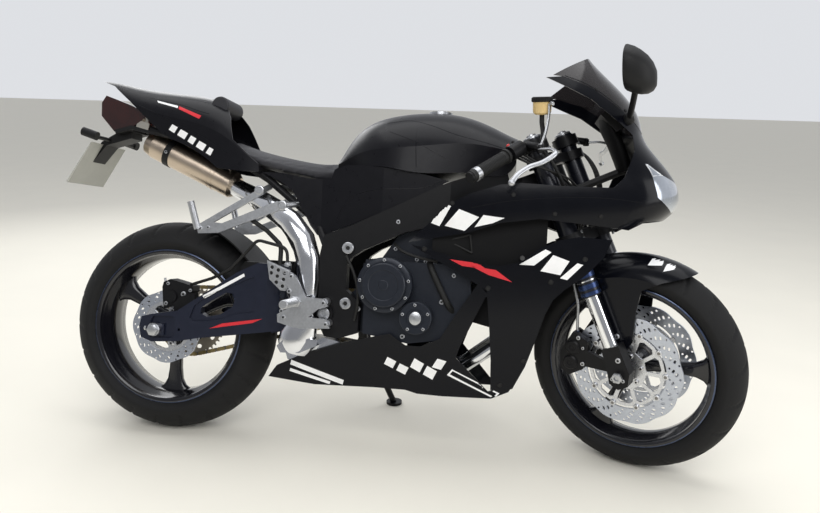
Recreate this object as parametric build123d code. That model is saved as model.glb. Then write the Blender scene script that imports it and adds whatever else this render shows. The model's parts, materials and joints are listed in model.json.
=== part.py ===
"""Sport bike with solo tail, parked on its side stand with the steering on its right stop.

Millimetres. The bike is drawn upright: origin on the ground under the rear axle, X forward,
Y to the rider's left, Z up. park() then leans it on the stand and puts the box centre at 0, 0, 0.
"""
import math
import os

from build123d import *

# Driving dimensions
WHEELBASE = 1375.0
RAKE = math.radians(23.55)
TRAIL = 97.7
FORK_OFFSET = 30.3
REAR_R, REAR_W, REAR_CROWN = 315.0, 180.0, 96.0
FRONT_R, FRONT_W, FRONT_CROWN = 300.0, 120.0, 63.0
LEAN = 12.0
STEER_STOP = 28.0
FORK_Y = 107.0
CHAIN_Y = 104.0
SPROCKET_X, SPROCKET_Z = 575.0, 405.0
REAR_SPROCKET_R, FRONT_SPROCKET_R = 108.0, 41.0
STAND_PIVOT = (560.0, 150.0, 292.0)
STAND_FOOT = (646.0, 291.0, 60.0)
STAND_FOLDED = (-0.985, 0.17, 0.0)

STEER_GROUND = Vector(WHEELBASE + TRAIL, 0, 0)
STEER_DIR = Vector(-math.sin(RAKE), 0, math.cos(RAKE))
STEER_AXIS = Axis(STEER_GROUND, STEER_DIR)


def prism(points, y0, y1):
    """Side-view outline (x, z) as a solid between two y values."""
    face = Face(Wire.make_polygon([Vector(x, y0, z) for x, z in points], close=True))
    return Solid.extrude(face, Vector(0, y1 - y0, 0))


def slab(points, z0, z1):
    """Plan outline (x, y) as a solid between two heights."""
    face = Face(Wire.make_polygon([Vector(x, y, z0) for x, y in points], close=True))
    return Solid.extrude(face, Vector(0, 0, z1 - z0))


def block(x0, x1, y0, y1, z0, z1):
    return Pos((x0 + x1) / 2, (y0 + y1) / 2, (z0 + z1) / 2) * Box(x1 - x0, y1 - y0, z1 - z0)


def rod(p, q, radius):
    p, q = Vector(*p), Vector(*q)
    return Solid.make_cylinder(radius, (q - p).length, Plane(origin=p, z_dir=q - p))


def disc(x, z, radius, y0, y1):
    return rod((x, y0, z), (x, y1, z), radius)


def ring(x, z, outer, inner, y0, y1):
    return disc(x, z, outer, y0, y1) - disc(x, z, inner, y0 - 1, y1 + 1)


def tube(points, bend, radius):
    """Round bar along a path with one bend radius."""
    with BuildPart() as part:
        with BuildLine() as line:
            FilletPolyline(*points, radius=bend)
        with BuildSketch(Plane(origin=line.line @ 0, z_dir=line.line % 0)):
            Circle(radius)
        sweep()
    return part.part


def mirrored(shape):
    return shape.mirror(Plane.XZ)


def both(shape):
    return [shape, mirrored(shape)]


def join(shapes):
    total = shapes[0]
    for shape in shapes[1:]:
        total = total + shape
    return total


def main_solid(shape):
    return max(shape.solids(), key=lambda s: s.volume)


def group(shapes):
    """Solids of one body that share a node without touching."""
    solids = []
    for shape in shapes:
        solids += list(shape.solids())
    return Compound(solids)


def fork_point(s, y, ahead=0.0):
    """Point s mm up the fork from the front axle line, at lateral y."""
    base = Vector(WHEELBASE, y, FRONT_R) + STEER_DIR * s
    return base + Vector(math.cos(RAKE), 0, math.sin(RAKE)) * ahead


def fork_rod(s0, s1, y, radius, ahead=0.0):
    p, q = fork_point(s0, y, ahead), fork_point(s1, y, ahead)
    return rod((p.X, p.Y, p.Z), (q.X, q.Y, q.Z), radius)


def plan_loft(rows, inset):
    """Skin body from plan sections: z, rear x, rear y, mid x, mid y, front x, front y, nose x."""
    sections = []
    last = len(rows) - 1
    for i, (z, xr, yr, xm, ym, xf, yf, xn) in enumerate(rows):
        z = z + inset * ((i == 0) - (i == last))
        yr, ym, yf, xn = yr - inset, ym - inset, yf - inset, xn - inset
        with BuildSketch(Plane.XY.offset(z)) as sketch:
            with BuildLine():
                ThreePointArc((xr + inset, -yr), (xm, -ym), (xf, -yf))
                ThreePointArc((xf, -yf), (xn, 0), (xf, yf))
                ThreePointArc((xf, yf), (xm, ym), (xr + inset, yr))
                Line((xr + inset, yr), (xr + inset, -yr))
            make_face()
        sections.append(sketch.sketch)
    return loft(sections)


def rib_loft(rows, inset=0.0):
    """Body along X from ribs: x, low z, low half-width, waist z, waist half-width, top z."""
    sections = []
    last = len(rows) - 1
    for i, (x, zl, wl, zw, ww, zt) in enumerate(rows):
        x = x + inset * ((i == 0) - (i == last))
        zl, wl, ww, zt = zl + inset, wl - inset, ww - inset, zt - inset
        with BuildSketch(Plane(origin=(x, 0, 0), x_dir=(0, 1, 0), z_dir=(1, 0, 0))) as sketch:
            with BuildLine():
                Line((-wl, zl), (wl, zl))
                Line((wl, zl), (ww, zw))
                ThreePointArc((ww, zw), (0, zt), (-ww, zw))
                Line((-ww, zw), (-wl, zl))
            make_face()
        sections.append(sketch.sketch)
    return loft(sections)


CHASSIS, STEERING, FRONT_WHEEL, REAR_WHEEL, STAND = {}, {}, {}, {}, {}

# ---- wheels -------------------------------------------------------------------------


def tyre(x, z, radius, width, crown, rim_r):
    """Hollow U section turned about the axle."""
    half = width / 2
    shoulder_r = radius - crown + math.sqrt(crown ** 2 - (half - 1) ** 2)
    seat = half - 21
    with BuildSketch(Plane.XY) as sketch:
        with BuildLine():
            ThreePointArc((-half + 1, shoulder_r), (0, radius), (half - 1, shoulder_r))
            Line((half - 1, shoulder_r), (seat + 1, rim_r))
            Line((seat + 1, rim_r), (seat - 8, rim_r))
            Polyline((seat - 8, rim_r), (half - 12, shoulder_r - 2), (half * 0.55, radius - 28 - 0.16 * half),
                     (-half * 0.55, radius - 28 - 0.16 * half), (-half + 12, shoulder_r - 2), (-seat + 8, rim_r))
            Line((-seat + 8, rim_r), (-seat - 1, rim_r))
            Line((-seat - 1, rim_r), (-half + 1, shoulder_r))
        make_face()
    return turn(sketch.sketch, x, z)


def turn(face, x, z):
    """Section (y, r) drawn on XY, turned about the wheel axle through x, z."""
    solid = revolve(face, Axis.X, 360)
    return Pos(x, 0, z) * (Rot(0, 0, 90) * solid)


def rim(x, z, half, hub_half, hub_r, bore_r, spoke_angles, spoke_w):
    """Barrel with lips and drop centre, hub, and three spokes that widen at the rim."""
    profile = [
        (-half, 231), (-half, 219), (-half + 24, 217), (-half + 34, 205), (half - 34, 205),
        (half - 24, 217), (half, 219), (half, 231), (half - 7, 231), (half - 7, 224),
        (half - 26, 223), (half - 38, 211), (-half + 38, 211), (-half + 26, 223),
        (-half + 7, 224), (-half + 7, 231),
    ]
    with BuildSketch(Plane.XY) as sketch:
        with BuildLine():
            Polyline(*profile, close=True)
        make_face()
    pieces = [turn(sketch.sketch, x, z), disc(x, z, hub_r, -hub_half, hub_half)]
    for angle in spoke_angles:
        outline = [(hub_r - 8, -spoke_w), (120, -spoke_w * 0.8), (207, -spoke_w * 1.7),
                   (207, spoke_w * 1.7), (120, spoke_w * 0.8), (hub_r - 8, spoke_w)]
        pocket = [(hub_r + 16, -spoke_w * 0.55), (120, -spoke_w * 0.45), (194, -spoke_w * 1.15),
                  (194, spoke_w * 1.15), (120, spoke_w * 0.45), (hub_r + 16, spoke_w * 0.55)]
        spoke = prism(outline, -17, 17) - prism(pocket, -20, -11) - prism(pocket, 11, 20)
        pieces.append(Pos(x, 0, z) * (Rot(0, -angle, 0) * spoke))
    return join(pieces) - disc(x, z, bore_r, -hub_half - 1, hub_half + 1)


def drilled_disc(x, z, outer, inner, y, thick, waves):
    """Brake disc with a wavy edge and rows of slots."""
    body = ring(x, z, outer, inner, y - thick / 2, y + thick / 2)
    cuts = []
    for i in range(waves):
        a = 2 * math.pi * i / waves
        cx, cz = x + (outer + 12) * math.cos(a), z + (outer + 12) * math.sin(a)
        cuts.append(disc(cx, cz, 17, y - thick, y + thick))
    return body - join(cuts)


REAR_AXLE_R, FRONT_AXLE_R, BORE_GAP = 12.5, 11.0, 0.05
REAR_HUB_HALF, FRONT_HUB_HALF = 62.0, 52.0
RIM_HALF_REAR, RIM_HALF_FRONT = 77.0, 51.5

REAR_WHEEL["rear_rim"] = rim(0, REAR_R, RIM_HALF_REAR, REAR_HUB_HALF, 44, REAR_AXLE_R + BORE_GAP,
                             (270, 150, 30), 24)
REAR_WHEEL["rear_tyre"] = tyre(0, REAR_R, REAR_R, REAR_W, REAR_CROWN, 224.3) - REAR_WHEEL["rear_rim"]
rear_disc_carrier = ring(0, REAR_R, 76, 20, -75, -REAR_HUB_HALF)
REAR_WHEEL["rear_disc"] = drilled_disc(0, REAR_R, 110, 70, -73.5, 5, 10) + rear_disc_carrier
sprocket_teeth = 43
tooth_cuts = join([
    disc(REAR_SPROCKET_R * math.cos(2 * math.pi * i / sprocket_teeth),
         REAR_R + REAR_SPROCKET_R * math.sin(2 * math.pi * i / sprocket_teeth), 5.0,
         CHAIN_Y - 5, CHAIN_Y + 5)
    for i in range(sprocket_teeth)
])
sprocket = disc(0, REAR_R, REAR_SPROCKET_R + 2, CHAIN_Y - 3, CHAIN_Y + 3) - tooth_cuts
sprocket = sprocket + disc(0, REAR_R, 62, REAR_HUB_HALF, CHAIN_Y - 3)
REAR_WHEEL["rear_sprocket"] = sprocket - disc(0, REAR_R, REAR_AXLE_R + 4, 0, 200)

FRONT_WHEEL["front_rim"] = rim(WHEELBASE, FRONT_R, RIM_HALF_FRONT, FRONT_HUB_HALF, 34,
                               FRONT_AXLE_R + BORE_GAP, (4, 124, 244), 21)
FRONT_WHEEL["front_tyre"] = (tyre(WHEELBASE, FRONT_R, FRONT_R, FRONT_W, FRONT_CROWN, 224.3)
                             - FRONT_WHEEL["front_rim"])
front_disc = drilled_disc(WHEELBASE, FRONT_R, 155, 108, -68, 5, 12)
front_carrier = ring(WHEELBASE, FRONT_R, 112, 22, -65.5, -60) - join([
    disc(WHEELBASE + 82 * math.cos(math.radians(a)), FRONT_R + 82 * math.sin(math.radians(a)), 19, -70, -50)
    for a in range(0, 360, 60)
])
front_carrier = front_carrier + ring(WHEELBASE, FRONT_R, 40, 22, -60, -FRONT_HUB_HALF)
FRONT_WHEEL["front_discs"] = group(both(front_disc + front_carrier))

# ---- chassis ------------------------------------------------------------------------
head_low, head_high = 410.0, 600.0
spar_side = prism([
    (491, 613), (567, 644), (649, 684), (704, 711), (811, 765), (900, 800), (1010, 846),
    (1080, 858), (1120, 846), (1205, 690), (1150, 655), (1040, 690), (940, 690), (722, 633),
    (604, 577), (571, 553), (561, 533), (562, 463), (600, 430), (600, 345), (545, 326),
    (505, 330), (484, 370), (482, 560)], -200, 200)
spar_plan = slab([
    (455, -122), (455, -156), (620, -156), (840, -162), (1030, -74), (1120, -60), (1215, -30),
    (1215, -8), (1100, -12), (1010, -35), (840, -122)], 200, 1000)
spar = spar_side & spar_plan
spar = spar + disc(564, 581, 15, -166, -150) + disc(SPROCKET_X - 70, 395, 24, -166, -122)
head_axis_y = -FORK_OFFSET
head_tube = fork_rod(head_low, head_high, 0, 38, head_axis_y)
frame_solid = join([spar, mirrored(spar), head_tube])
frame_solid = frame_solid - fork_rod(head_low - 120, head_low, 0, 150, head_axis_y)
frame_solid = frame_solid - fork_rod(head_high, head_high + 150, 0, 150, head_axis_y)
STEM_R = 16.0
frame_solid = frame_solid - fork_rod(head_low - 10, head_high + 10, 0, STEM_R + BORE_GAP, head_axis_y)
PIVOT_X, PIVOT_Z = 505.0, 395.0
frame_solid = frame_solid - disc(PIVOT_X, PIVOT_Z, 10, -200, 200)
CHASSIS["main_frame"] = frame_solid

crankcase = prism([(600, 345), (600, 540), (860, 550), (905, 520), (915, 430), (860, 345), (740, 325)],
                  -118, 148)
crankcase = crankcase + prism([(612, 345), (612, 552), (860, 550), (905, 520), (915, 430), (860, 345),
                               (740, 325)], -148, 148)
barrel = prism([(640, 540), (860, 540), (985, 640), (950, 720), (810, 720), (700, 630)], -112, 112)
gearbox = prism([(546, 372), (546, 438), (602, 480), (602, 346), (575, 352)], -112, CHAIN_Y - 18)
lugs = rod((690, -165, 340), (690, 165, 340), 6)
engine = join([crankcase, barrel, gearbox, lugs])
engine = engine - disc(SPROCKET_X, SPROCKET_Z, 62, CHAIN_Y - 18, 200)
engine = engine - frame_solid
CHASSIS["engine_covers"] = group([
    disc(675, 486, 75, -190, -148) + disc(675, 486, 60, -205, -190),
    disc(766, 402, 44, -200, -148),
    disc(765, 430, 70, 148, 188),
    (disc(605, 405, 66, 165, 176) + disc(650, 405, 40, 148, 165)) - frame_solid,
])
CHASSIS["engine_sprocket"] = (disc(SPROCKET_X, SPROCKET_Z, FRONT_SPROCKET_R - 6, CHAIN_Y - 3, CHAIN_Y + 3)
                              + disc(SPROCKET_X, SPROCKET_Z, 14, CHAIN_Y - 18, CHAIN_Y - 3))
radiator = prism([(1015, 420), (1048, 415), (1066, 640), (1032, 645)], -158, 158)
radiator = join([radiator, rod((1042, -230, 580), (1042, 230, 580), 6)]
                + both(rod((1049, -52, 636), (1049, -52, 700), 7)))

headers = []
for y in (-90.0, -35.0, 35.0, 90.0):
    path = [(950, y, 668), (984, y, 655), (984, y, 330), (880, y * 0.75, 250), (790, y * 0.6, 250)]
    headers.append(tube(path, 30, 18))
collector = prism([(640, 222), (820, 226), (820, 276), (640, 290)], -78, 78)
chamber = prism([(372, 300), (390, 250), (640, 222), (640, 290), (495, 320), (400, 322)], -112, 40)
chamber = chamber & slab([(370, -112), (370, -90), (480, -40), (640, 40), (640, -90), (560, -112)], 200, 400)
chamber_top = prism([(374, 296), (386, 278), (440, 280), (490, 304), (490, 320), (400, 322)], -172, -60)
pipe_path = [(440, -146, 300), (449, -149, 440), (446, -149, 540), (385, -140, 640), (270, -70, 700), (150, 0, 752)]
exhaust = join([collector, chamber, chamber_top, tube(pipe_path, 55, 25)] + headers)
CHASSIS["exhaust_system"] = exhaust - engine
muffler_front, muffler_back = Vector(172, 0, 746), Vector(-118, 0, 874)
muffler_length = (muffler_back - muffler_front).length
muffler_plane = Plane(origin=muffler_front, z_dir=muffler_back - muffler_front)
with BuildSketch(Plane.XZ) as can_section:
    with BuildLine():
        Polyline((0, 0), (30, 0), (42, 16), (42, muffler_length - 24), (36, muffler_length),
                 (24, muffler_length), (24, muffler_length - 70), (0, muffler_length - 70), close=True)
    make_face()
CHASSIS["muffler"] = muffler_plane * revolve(can_section.sketch, Axis.Z, 360) - CHASSIS["exhaust_system"]

tank_ribs = [
    # x, low z, low half-width, waist z, waist half-width, top z
    (500, 812, 62, 822, 66, 842), (560, 800, 100, 846, 106, 930), (640, 812, 150, 862, 146, 969),
    (740, 798, 165, 870, 160, 984), (830, 800, 160, 880, 158, 982), (930, 800, 128, 880, 132, 954),
    (1012, 838, 100, 880, 100, 918),
]
CHASSIS["fuel_tank"] = rib_loft(tank_ribs) - frame_solid
CHASSIS["fuel_cap"] = rod((785, 0, 975), (785, 0, 989), 34) - CHASSIS["fuel_tank"]
seat_ribs = [
    (152, 860, 60, 866, 64, 886), (200, 838, 108, 850, 110, 871), (270, 806, 122, 826, 124, 851),
    (350, 788, 118, 808, 120, 835), (430, 774, 100, 796, 102, 824), (496, 776, 64, 800, 66, 832),
]
CHASSIS["seat"] = rib_loft(seat_ribs) - CHASSIS["fuel_tank"]
cover = prism([(290, 785), (345, 761), (382, 737), (408, 695), (440, 639), (462, 612), (491, 616),
               (567, 648), (649, 684), (704, 711), (811, 765), (835, 778), (754, 796), (642, 811), (540, 814),
               (505, 800), (497, 774), (430, 772), (350, 786)], -200, 0)
cover = cover & slab([(280, -113), (280, -119), (470, -121), (650, -148), (838, -162), (838, -157), (650, -143),
                      (470, -116)], 500, 900)
rail = tube([(492, -140, 590), (455, -100, 650), (300, -92, 768), (140, -84, 856), (-90, -52, 905)], 60, 11)
cross = rod((330, -92, 745), (330, 92, 745), 10)
CHASSIS["subframe"] = join([rail, mirrored(rail), cross]) - frame_solid
COVER_CUTS = [CHASSIS["seat"], CHASSIS["fuel_tank"], frame_solid, CHASSIS["subframe"]]
for other in COVER_CUTS:
    cover = cover - other
cover = main_solid(cover)
CHASSIS["side_covers"] = group(both(cover))

tail_ribs = [
    (-282, 1030, 20, 1042, 22, 1058), (-190, 975, 60, 1005, 66, 1046), (-90, 905, 84, 960, 90, 1030),
    (40, 858, 96, 930, 102, 1018), (140, 800, 112, 900, 112, 992), (281, 781, 126, 806, 126, 845),
]
PAD_X, PAD_Z = 128.0, 984.0
tail_outline = prism([
    (-279, 1057), (-195, 1046), (37, 1018), (109, 1010), (142, 987), (170, 945), (195, 876),
    (240, 840), (290, 800), (290, 784), (229, 786), (137, 793), (89, 821), (25, 857), (-40, 893),
    (-149, 985), (-222, 1037)], -200, 200)
tail_skin = (rib_loft(tail_ribs) & tail_outline) - rib_loft(tail_ribs, 3)
tail_skin = main_solid(tail_skin)
TAIL_CUTS = [CHASSIS["seat"], CHASSIS["side_covers"], CHASSIS["subframe"], CHASSIS["muffler"]]
for other in TAIL_CUTS:
    tail_skin = tail_skin - other
back_pad = rod((PAD_X, -62, PAD_Z), (PAD_X, 62, PAD_Z), 27)
back_pad = fillet(back_pad.edges(), 5)
tail_skin = main_solid(tail_skin - back_pad)
CHASSIS["tail_cowl"] = tail_skin
CHASSIS["back_pad"] = back_pad
undertail = prism([(-205, 900), (-150, 916), (-20, 884), (-20, 878), (-150, 904), (-200, 890)], -64, 64)
undertail = undertail - block(-160, 0, -47, 47, 800, 1000)
light = prism([(-236, 1004), (-250, 982), (-249, 942), (-206, 896), (-150, 910), (-120, 930), (-100, 950),
               (-150, 975)], -62, 62)
holder = prism([(-205, 900), (-262, 866), (-300, 804), (-292, 798), (-245, 856), (-190, 872), (-165, 880),
                (-165, 912)], -34, 34) + undertail
holder = holder + rod((-236, -112, 872), (-236, 112, 872), 6)
for y in (-118, 118):
    holder = holder + rod((-272, y, 886), (-226, y, 872), 13)
CHASSIS["plate_holder"] = holder - CHASSIS["muffler"] - CHASSIS["subframe"] - CHASSIS["tail_cowl"]
CHASSIS["tail_light"] = light - CHASSIS["plate_holder"] - CHASSIS["tail_cowl"] - CHASSIS["subframe"]
plate = prism([(-256, 858), (-261, 855), (-334, 736), (-329, 733)], -97, 97)
CHASSIS["licence_plate"] = main_solid(plate - CHASSIS["plate_holder"])

# Swing arm: two limbs joined by a beam that passes between the runs of the chain
limb = prism([(-50, 322), (-44, 350), (-15, 358), (63, 372), (137, 423), (240, 494), (300, 524), (345, 524),
              (392, 420), (392, 338), (368, 334), (128, 297), (67, 284), (-11, 278), (-44, 290)], -150, -118)
limb_pocket = [(103, 355), (116, 391), (151, 421), (275, 478), (291, 484), (299, 455), (296, 383), (238, 373),
               (206, 359), (154, 348), (112, 346)]
limb_window = [(134, 370), (136, 386), (152, 399), (209, 434), (229, 432), (236, 420), (230, 395), (196, 371),
               (154, 360)]
axle_slot = [(-20, 296), (-16, 338), (-8, 353), (48, 356), (57, 350), (60, 300), (50, 292), (-12, 290)]
adjuster = block(-22, 26, -150, -140, 298, 332)
limb = limb - prism(limb_pocket, -160, -145) - prism(limb_window, -160, -100)
limb = limb - (prism(axle_slot, -160, -142) - adjuster)
limb = limb & slab([(-60, -118), (-60, -150), (330, -150), (392, -126), (392, -118)], 200, 600)
beam = prism([(338, 322), (338, 412), (440, 418), (520, 424), (536, 410), (538, 384), (520, 372), (440, 348)],
             -118, 118)
arm = join([limb, mirrored(limb), beam]) - disc(PIVOT_X, PIVOT_Z, 10, -200, 200)
BOBBIN_X, BOBBIN_Z, BOBBIN_R, BOBBIN_DEPTH = 72.0, 318.0, 4.0, 24.0
for side in (-1, 1):
    bottom, mouth = side * (150 - BOBBIN_DEPTH), side * 170
    arm = arm - rod((BOBBIN_X, bottom, BOBBIN_Z), (BOBBIN_X, mouth, BOBBIN_Z), BOBBIN_R)
arm = arm - disc(0, REAR_R, REAR_AXLE_R, -200, 200)
CHASSIS["swingarm"] = arm
CHASSIS["pivot_shaft"] = disc(PIVOT_X, PIVOT_Z, 10, -172, 172)
CHASSIS["rear_axle"] = join([disc(0, REAR_R, REAR_AXLE_R, -160, 160), ring(0, REAR_R, 19, 5, -163, -150.0),
                             ring(0, REAR_R, 19, 5, 150.0, 163),
                             ring(0, REAR_R, 20, 6, -118, -80), ring(0, REAR_R, 16, 6, 108, 118)])
caliper = prism([(-1, 396), (3, 371), (36, 386), (76, 411), (92, 428), (88, 443), (60, 451), (19, 460),
                 (-1, 451), (-5, 435)], -108, -60) + disc(26, 409, 17, -114, -100)
caliper = caliper - disc(0, REAR_R, 122, -82, -65) + prism([(40, 366), (105, 390), (100, 425), (60, 412), (36, 390)],
                                                           -118, -92)
CHASSIS["rear_caliper"] = main_solid(caliper - arm - disc(0, REAR_R, 82, -79, -50) - disc(0, REAR_R, 122, -82, -65))
hug = ring(0, REAR_R, REAR_R + 14, REAR_R + 10, -92, 92)
hug = hug & prism([(0, REAR_R), (360, 330), (420, 480), (250, 700), (120, 640)], -92, 92)
hug = main_solid(hug)
hug = join([hug] + both(prism([(235, 505), (250, 525), (335, 525), (335, 470), (270, 462)], -118, -90)))
CHASSIS["hugger"] = hug - disc(0, REAR_R, REAR_R + 9, -93, 93) - arm


def belt(grow):
    """Solid bounded by the belt line around both sprockets, grown by a margin."""
    big, small = REAR_SPROCKET_R + grow, FRONT_SPROCKET_R + grow
    dx, dz = SPROCKET_X, SPROCKET_Z - REAR_R
    length = math.hypot(dx, dz)
    lift = math.atan2(dz, dx)
    spread = math.acos((big - small) / length)
    corners = []
    for sign in (1, -1):
        a = lift + sign * spread
        corners.append((big * math.cos(a), REAR_R + big * math.sin(a)))
        corners.append((SPROCKET_X + small * math.cos(a), SPROCKET_Z + small * math.sin(a)))
    quad = prism([corners[0], corners[1], corners[3], corners[2]], CHAIN_Y - 9, CHAIN_Y + 9)
    return join([quad, disc(0, REAR_R, big, CHAIN_Y - 9, CHAIN_Y + 9),
                 disc(SPROCKET_X, SPROCKET_Z, small, CHAIN_Y - 9, CHAIN_Y + 9)])


CHASSIS["drive_chain"] = belt(21) - belt(7)

# Rider's controls fixed to the frame
rear_plate = prism([(412, 506), (427, 498), (459, 440), (513, 438), (524, 418), (494, 408), (470, 385),
                    (521, 382), (531, 358), (446, 352), (423, 355), (382, 366), (380, 388), (405, 403),
                    (416, 442), (405, 470)], -200, -190)
heel = prism([(343, 535), (411, 511), (413, 470), (399, 453), (385, 454), (352, 483)], -196, -192)
peg = rod((431, -200, 426), (425, -285, 424), 11)
spacers = [rod((510, -190, 428), (510, -160, 428), 11), rod((518, -190, 370), (518, -160, 370), 11)]
rearset = join([rear_plate, heel, peg] + spacers)
gear_lever = rod((526, 196, 364), (655, 205, 380), 6) + rod((655, 200, 380), (655, 240, 380), 8)
CHASSIS["rearsets"] = group([rearset - frame_solid, (mirrored(rearset) + gear_lever) - frame_solid])
master = join([rod((398, -176, 524), (388, -176, 436), 10), rod((388, -176, 436), (390, -176, 396), 8),
               rod((396, -192, 505), (396, -176, 505), 7), rod((390, -190, 397), (390, -176, 397), 6),
               rod((398, -176, 518), (372, -172, 518), 7)])
CHASSIS["rear_master_cylinder"] = master - rearset
reservoir_hose = tube([(373, -172, 519), (372, -165, 578), (318, -139, 618), (262, -139, 652)], 30, 6.5)
rear_brake_hose = tube([(397, -177, 524), (392, -175, 572), (300, -160, 590), (215, -140, 500), (150, -114, 470),
                        (78, -96, 446)], 26, 4.5)
HOSE_ENDS = [CHASSIS["rear_master_cylinder"], CHASSIS["rear_caliper"], rearset]
for other in HOSE_ENDS:
    reservoir_hose, rear_brake_hose = reservoir_hose - other, rear_brake_hose - other
CHASSIS["rear_brake_hoses"] = group([main_solid(reservoir_hose), main_solid(rear_brake_hose)])
bracket = join([
    prism([(297, 738), (280, 725), (114, 622), (120, 600), (180, 604), (365, 680), (372, 700), (350, 702),
           (190, 632), (165, 634), (310, 722)], -156, -146),
    rod((297, -146, 726), (305, -92, 745), 9), rod((362, -146, 690), (400, -96, 700), 9),
    rod((118, -156, 612), (96, -162, 690), 10)])
CHASSIS["passenger_brackets"] = group([piece - CHASSIS["subframe"] for piece in both(bracket)])

# Fairing
side_rows = [
    # z, rear x, rear y, mid x, mid y, front x, front y, nose x
    (176, 300, 90, 650, 112, 1060, 96, 1140), (330, 300, 118, 700, 158, 1130, 148, 1260),
    (480, 500, 150, 800, 182, 1220, 172, 1400), (620, 500, 165, 900, 200, 1290, 178, 1480),
    (780, 500, 170, 950, 207, 1330, 170, 1480),
]
SKIN = 4.0


def panel(rows, outline, y0, y1):
    """Open wall SKIN thick: the body of the rows inside a side-view outline, less its inside."""
    return (plan_loft(rows, 0) & prism(outline, y0, y1)) - plan_loft(rows, SKIN)


mid_outline = [
    (741, 601), (782, 592), (851, 574), (932, 557), (985, 555), (1037, 569), (1087, 608), (1138, 632),
    (1189, 643), (1273, 639), (1253, 591), (1220, 553), (1195, 530), (1158, 502), (1129, 473), (1110, 432),
    (1091, 365), (1066, 283), (1035, 215), (975, 207), (972, 296), (965, 379), (953, 487), (933, 499)]
mid = panel(side_rows, mid_outline, -260, 0)
lower_outline = [
    (358, 231), (438, 271), (565, 318), (650, 340), (692, 351), (736, 321), (778, 321), (832, 347), (870, 413),
    (930, 506), (962, 470), (951, 470), (889, 333), (877, 296), (968, 203), (1036, 226), (1025, 205), (978, 182),
    (841, 179), (771, 181), (737, 190), (644, 190), (472, 183), (330, 194)]
belly = panel(side_rows, lower_outline, -260, 0)
cowl_rows = [
    (596, 700, 190, 900, 200, 1230, 176, 1310), (700, 700, 190, 950, 207, 1310, 160, 1425),
    (755, 700, 190, 950, 208, 1330, 165, 1466), (833, 700, 180, 960, 200, 1320, 158, 1438),
    (957, 900, 190, 1080, 190, 1270, 140, 1354), (1075, 1000, 165, 1100, 160, 1220, 110, 1275),
    (1158, 1080, 100, 1120, 96, 1190, 60, 1232),
]
cowl_outline = [
    (735, 606), (901, 641), (979, 669), (1083, 685), (1238, 674), (1320, 668), (1364, 693), (1425, 701),
    (1480, 750), (1450, 833), (1425, 880), (1337, 948), (1282, 992), (1200, 1044), (1124, 1069), (1079, 1063),
    (1200, 1010), (1318, 925), (1322, 880), (1296, 805), (1268, 776), (1130, 774), (1026, 777), (974, 770), (895, 743),
    (830, 705), (792, 663)]
cowl = panel(cowl_rows, cowl_outline, -260, 260)
lamp_outline = [(1351, 848), (1369, 819), (1388, 758), (1439, 723), (1480, 740), (1460, 800), (1395, 822)]
lamp = prism(lamp_outline, -150, -35)
cowl = cowl - lamp - mirrored(lamp)
screen_outline = [
    (1425, 880), (1337, 948), (1282, 992), (1200, 1044), (1124, 1069), (1097, 1071), (1129, 1094),
    (1233, 1165), (1300, 1060), (1400, 930)]


cowl = main_solid(cowl)
mid = main_solid(mid - cowl)
belly = main_solid(belly - mid)
engine = engine - belly - mirrored(belly)
CHASSIS["engine_block"] = main_solid(engine)
radiator = radiator - mid - mirrored(mid) - frame_solid
CHASSIS["radiator"] = main_solid(radiator)
CHASSIS["side_fairings"] = group(both(mid))
stand_notch = block(300, 700, 0, 260, 232, 400)
CHASSIS["belly_pans"] = group([belly, main_solid(mirrored(belly) - stand_notch)])
CHASSIS["front_cowl"] = cowl
CHASSIS["windscreen"] = main_solid(panel(cowl_rows, screen_outline, -260, 260) - cowl)
stay = join([
    prism([(1235, 985), (1262, 1006), (1308, 962), (1280, 938)], -78, 78),
    rod((1160, 0, 770), (1335, 0, 850), 11), rod((1335, -200, 850), (1335, 200, 850), 9),
    rod((1318, 0, 842), (1290, 0, 950), 9)])
CHASSIS["instrument_cluster"] = main_solid(stay - frame_solid - cowl)


def mirror_section(x, scale):
    points = [(-222, 1028), (-224, 1080), (-250, 1116), (-318, 1116), (-346, 1086), (-338, 1036), (-290, 1010)]
    middle_y, middle_z = -284, 1064
    return Wire.make_polygon([Vector(x, middle_y + (y - middle_y) * scale, middle_z + (z - middle_z) * scale)
                              for y, z in points], close=True)


mirror_head = Solid.make_loft([mirror_section(1268, 0.96), mirror_section(1296, 1.0),
                               mirror_section(1340, 0.5)], True)
mirror = join([mirror_head, rod((1306, -90, 958), (1300, -240, 1040), 10)]) - cowl - CHASSIS["windscreen"]
CHASSIS["mirrors"] = group(both(main_solid(mirror)))
lamp_skin = panel(cowl_rows, lamp_outline, -150, -35)
CHASSIS["headlights"] = group(both(lamp_skin))

# ---- steering -----------------------------------------------------------------------
STEERING["fork_outer_tubes"] = group([fork_rod(228, 684, y, 27) for y in (-FORK_Y, FORK_Y)])
STEERING["fork_inner_tubes"] = group([fork_rod(70, 228, y, 20.5) for y in (-FORK_Y, FORK_Y)])
foot = prism([(1345, 300), (1350, 275), (1375, 262), (1400, 275), (1404, 310), (1370, 386), (1325, 366)],
             -FORK_Y - 24, -FORK_Y + 22)
foot = foot - disc(WHEELBASE, FRONT_R, FRONT_AXLE_R, -200, 0)
foot = foot - fork_rod(70, 240, -FORK_Y, 20.5)
STEERING["fork_bottoms"] = group(both(foot))
STEERING["front_axle"] = join([disc(WHEELBASE, FRONT_R, FRONT_AXLE_R, -FORK_Y - 36, FORK_Y + 36),
                               ring(WHEELBASE, FRONT_R, 17, 6, -FORK_Y + 22, -FRONT_HUB_HALF - 8.5),
                               ring(WHEELBASE, FRONT_R, 17, 6, FRONT_HUB_HALF + 8.5, FORK_Y - 22)])


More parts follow.
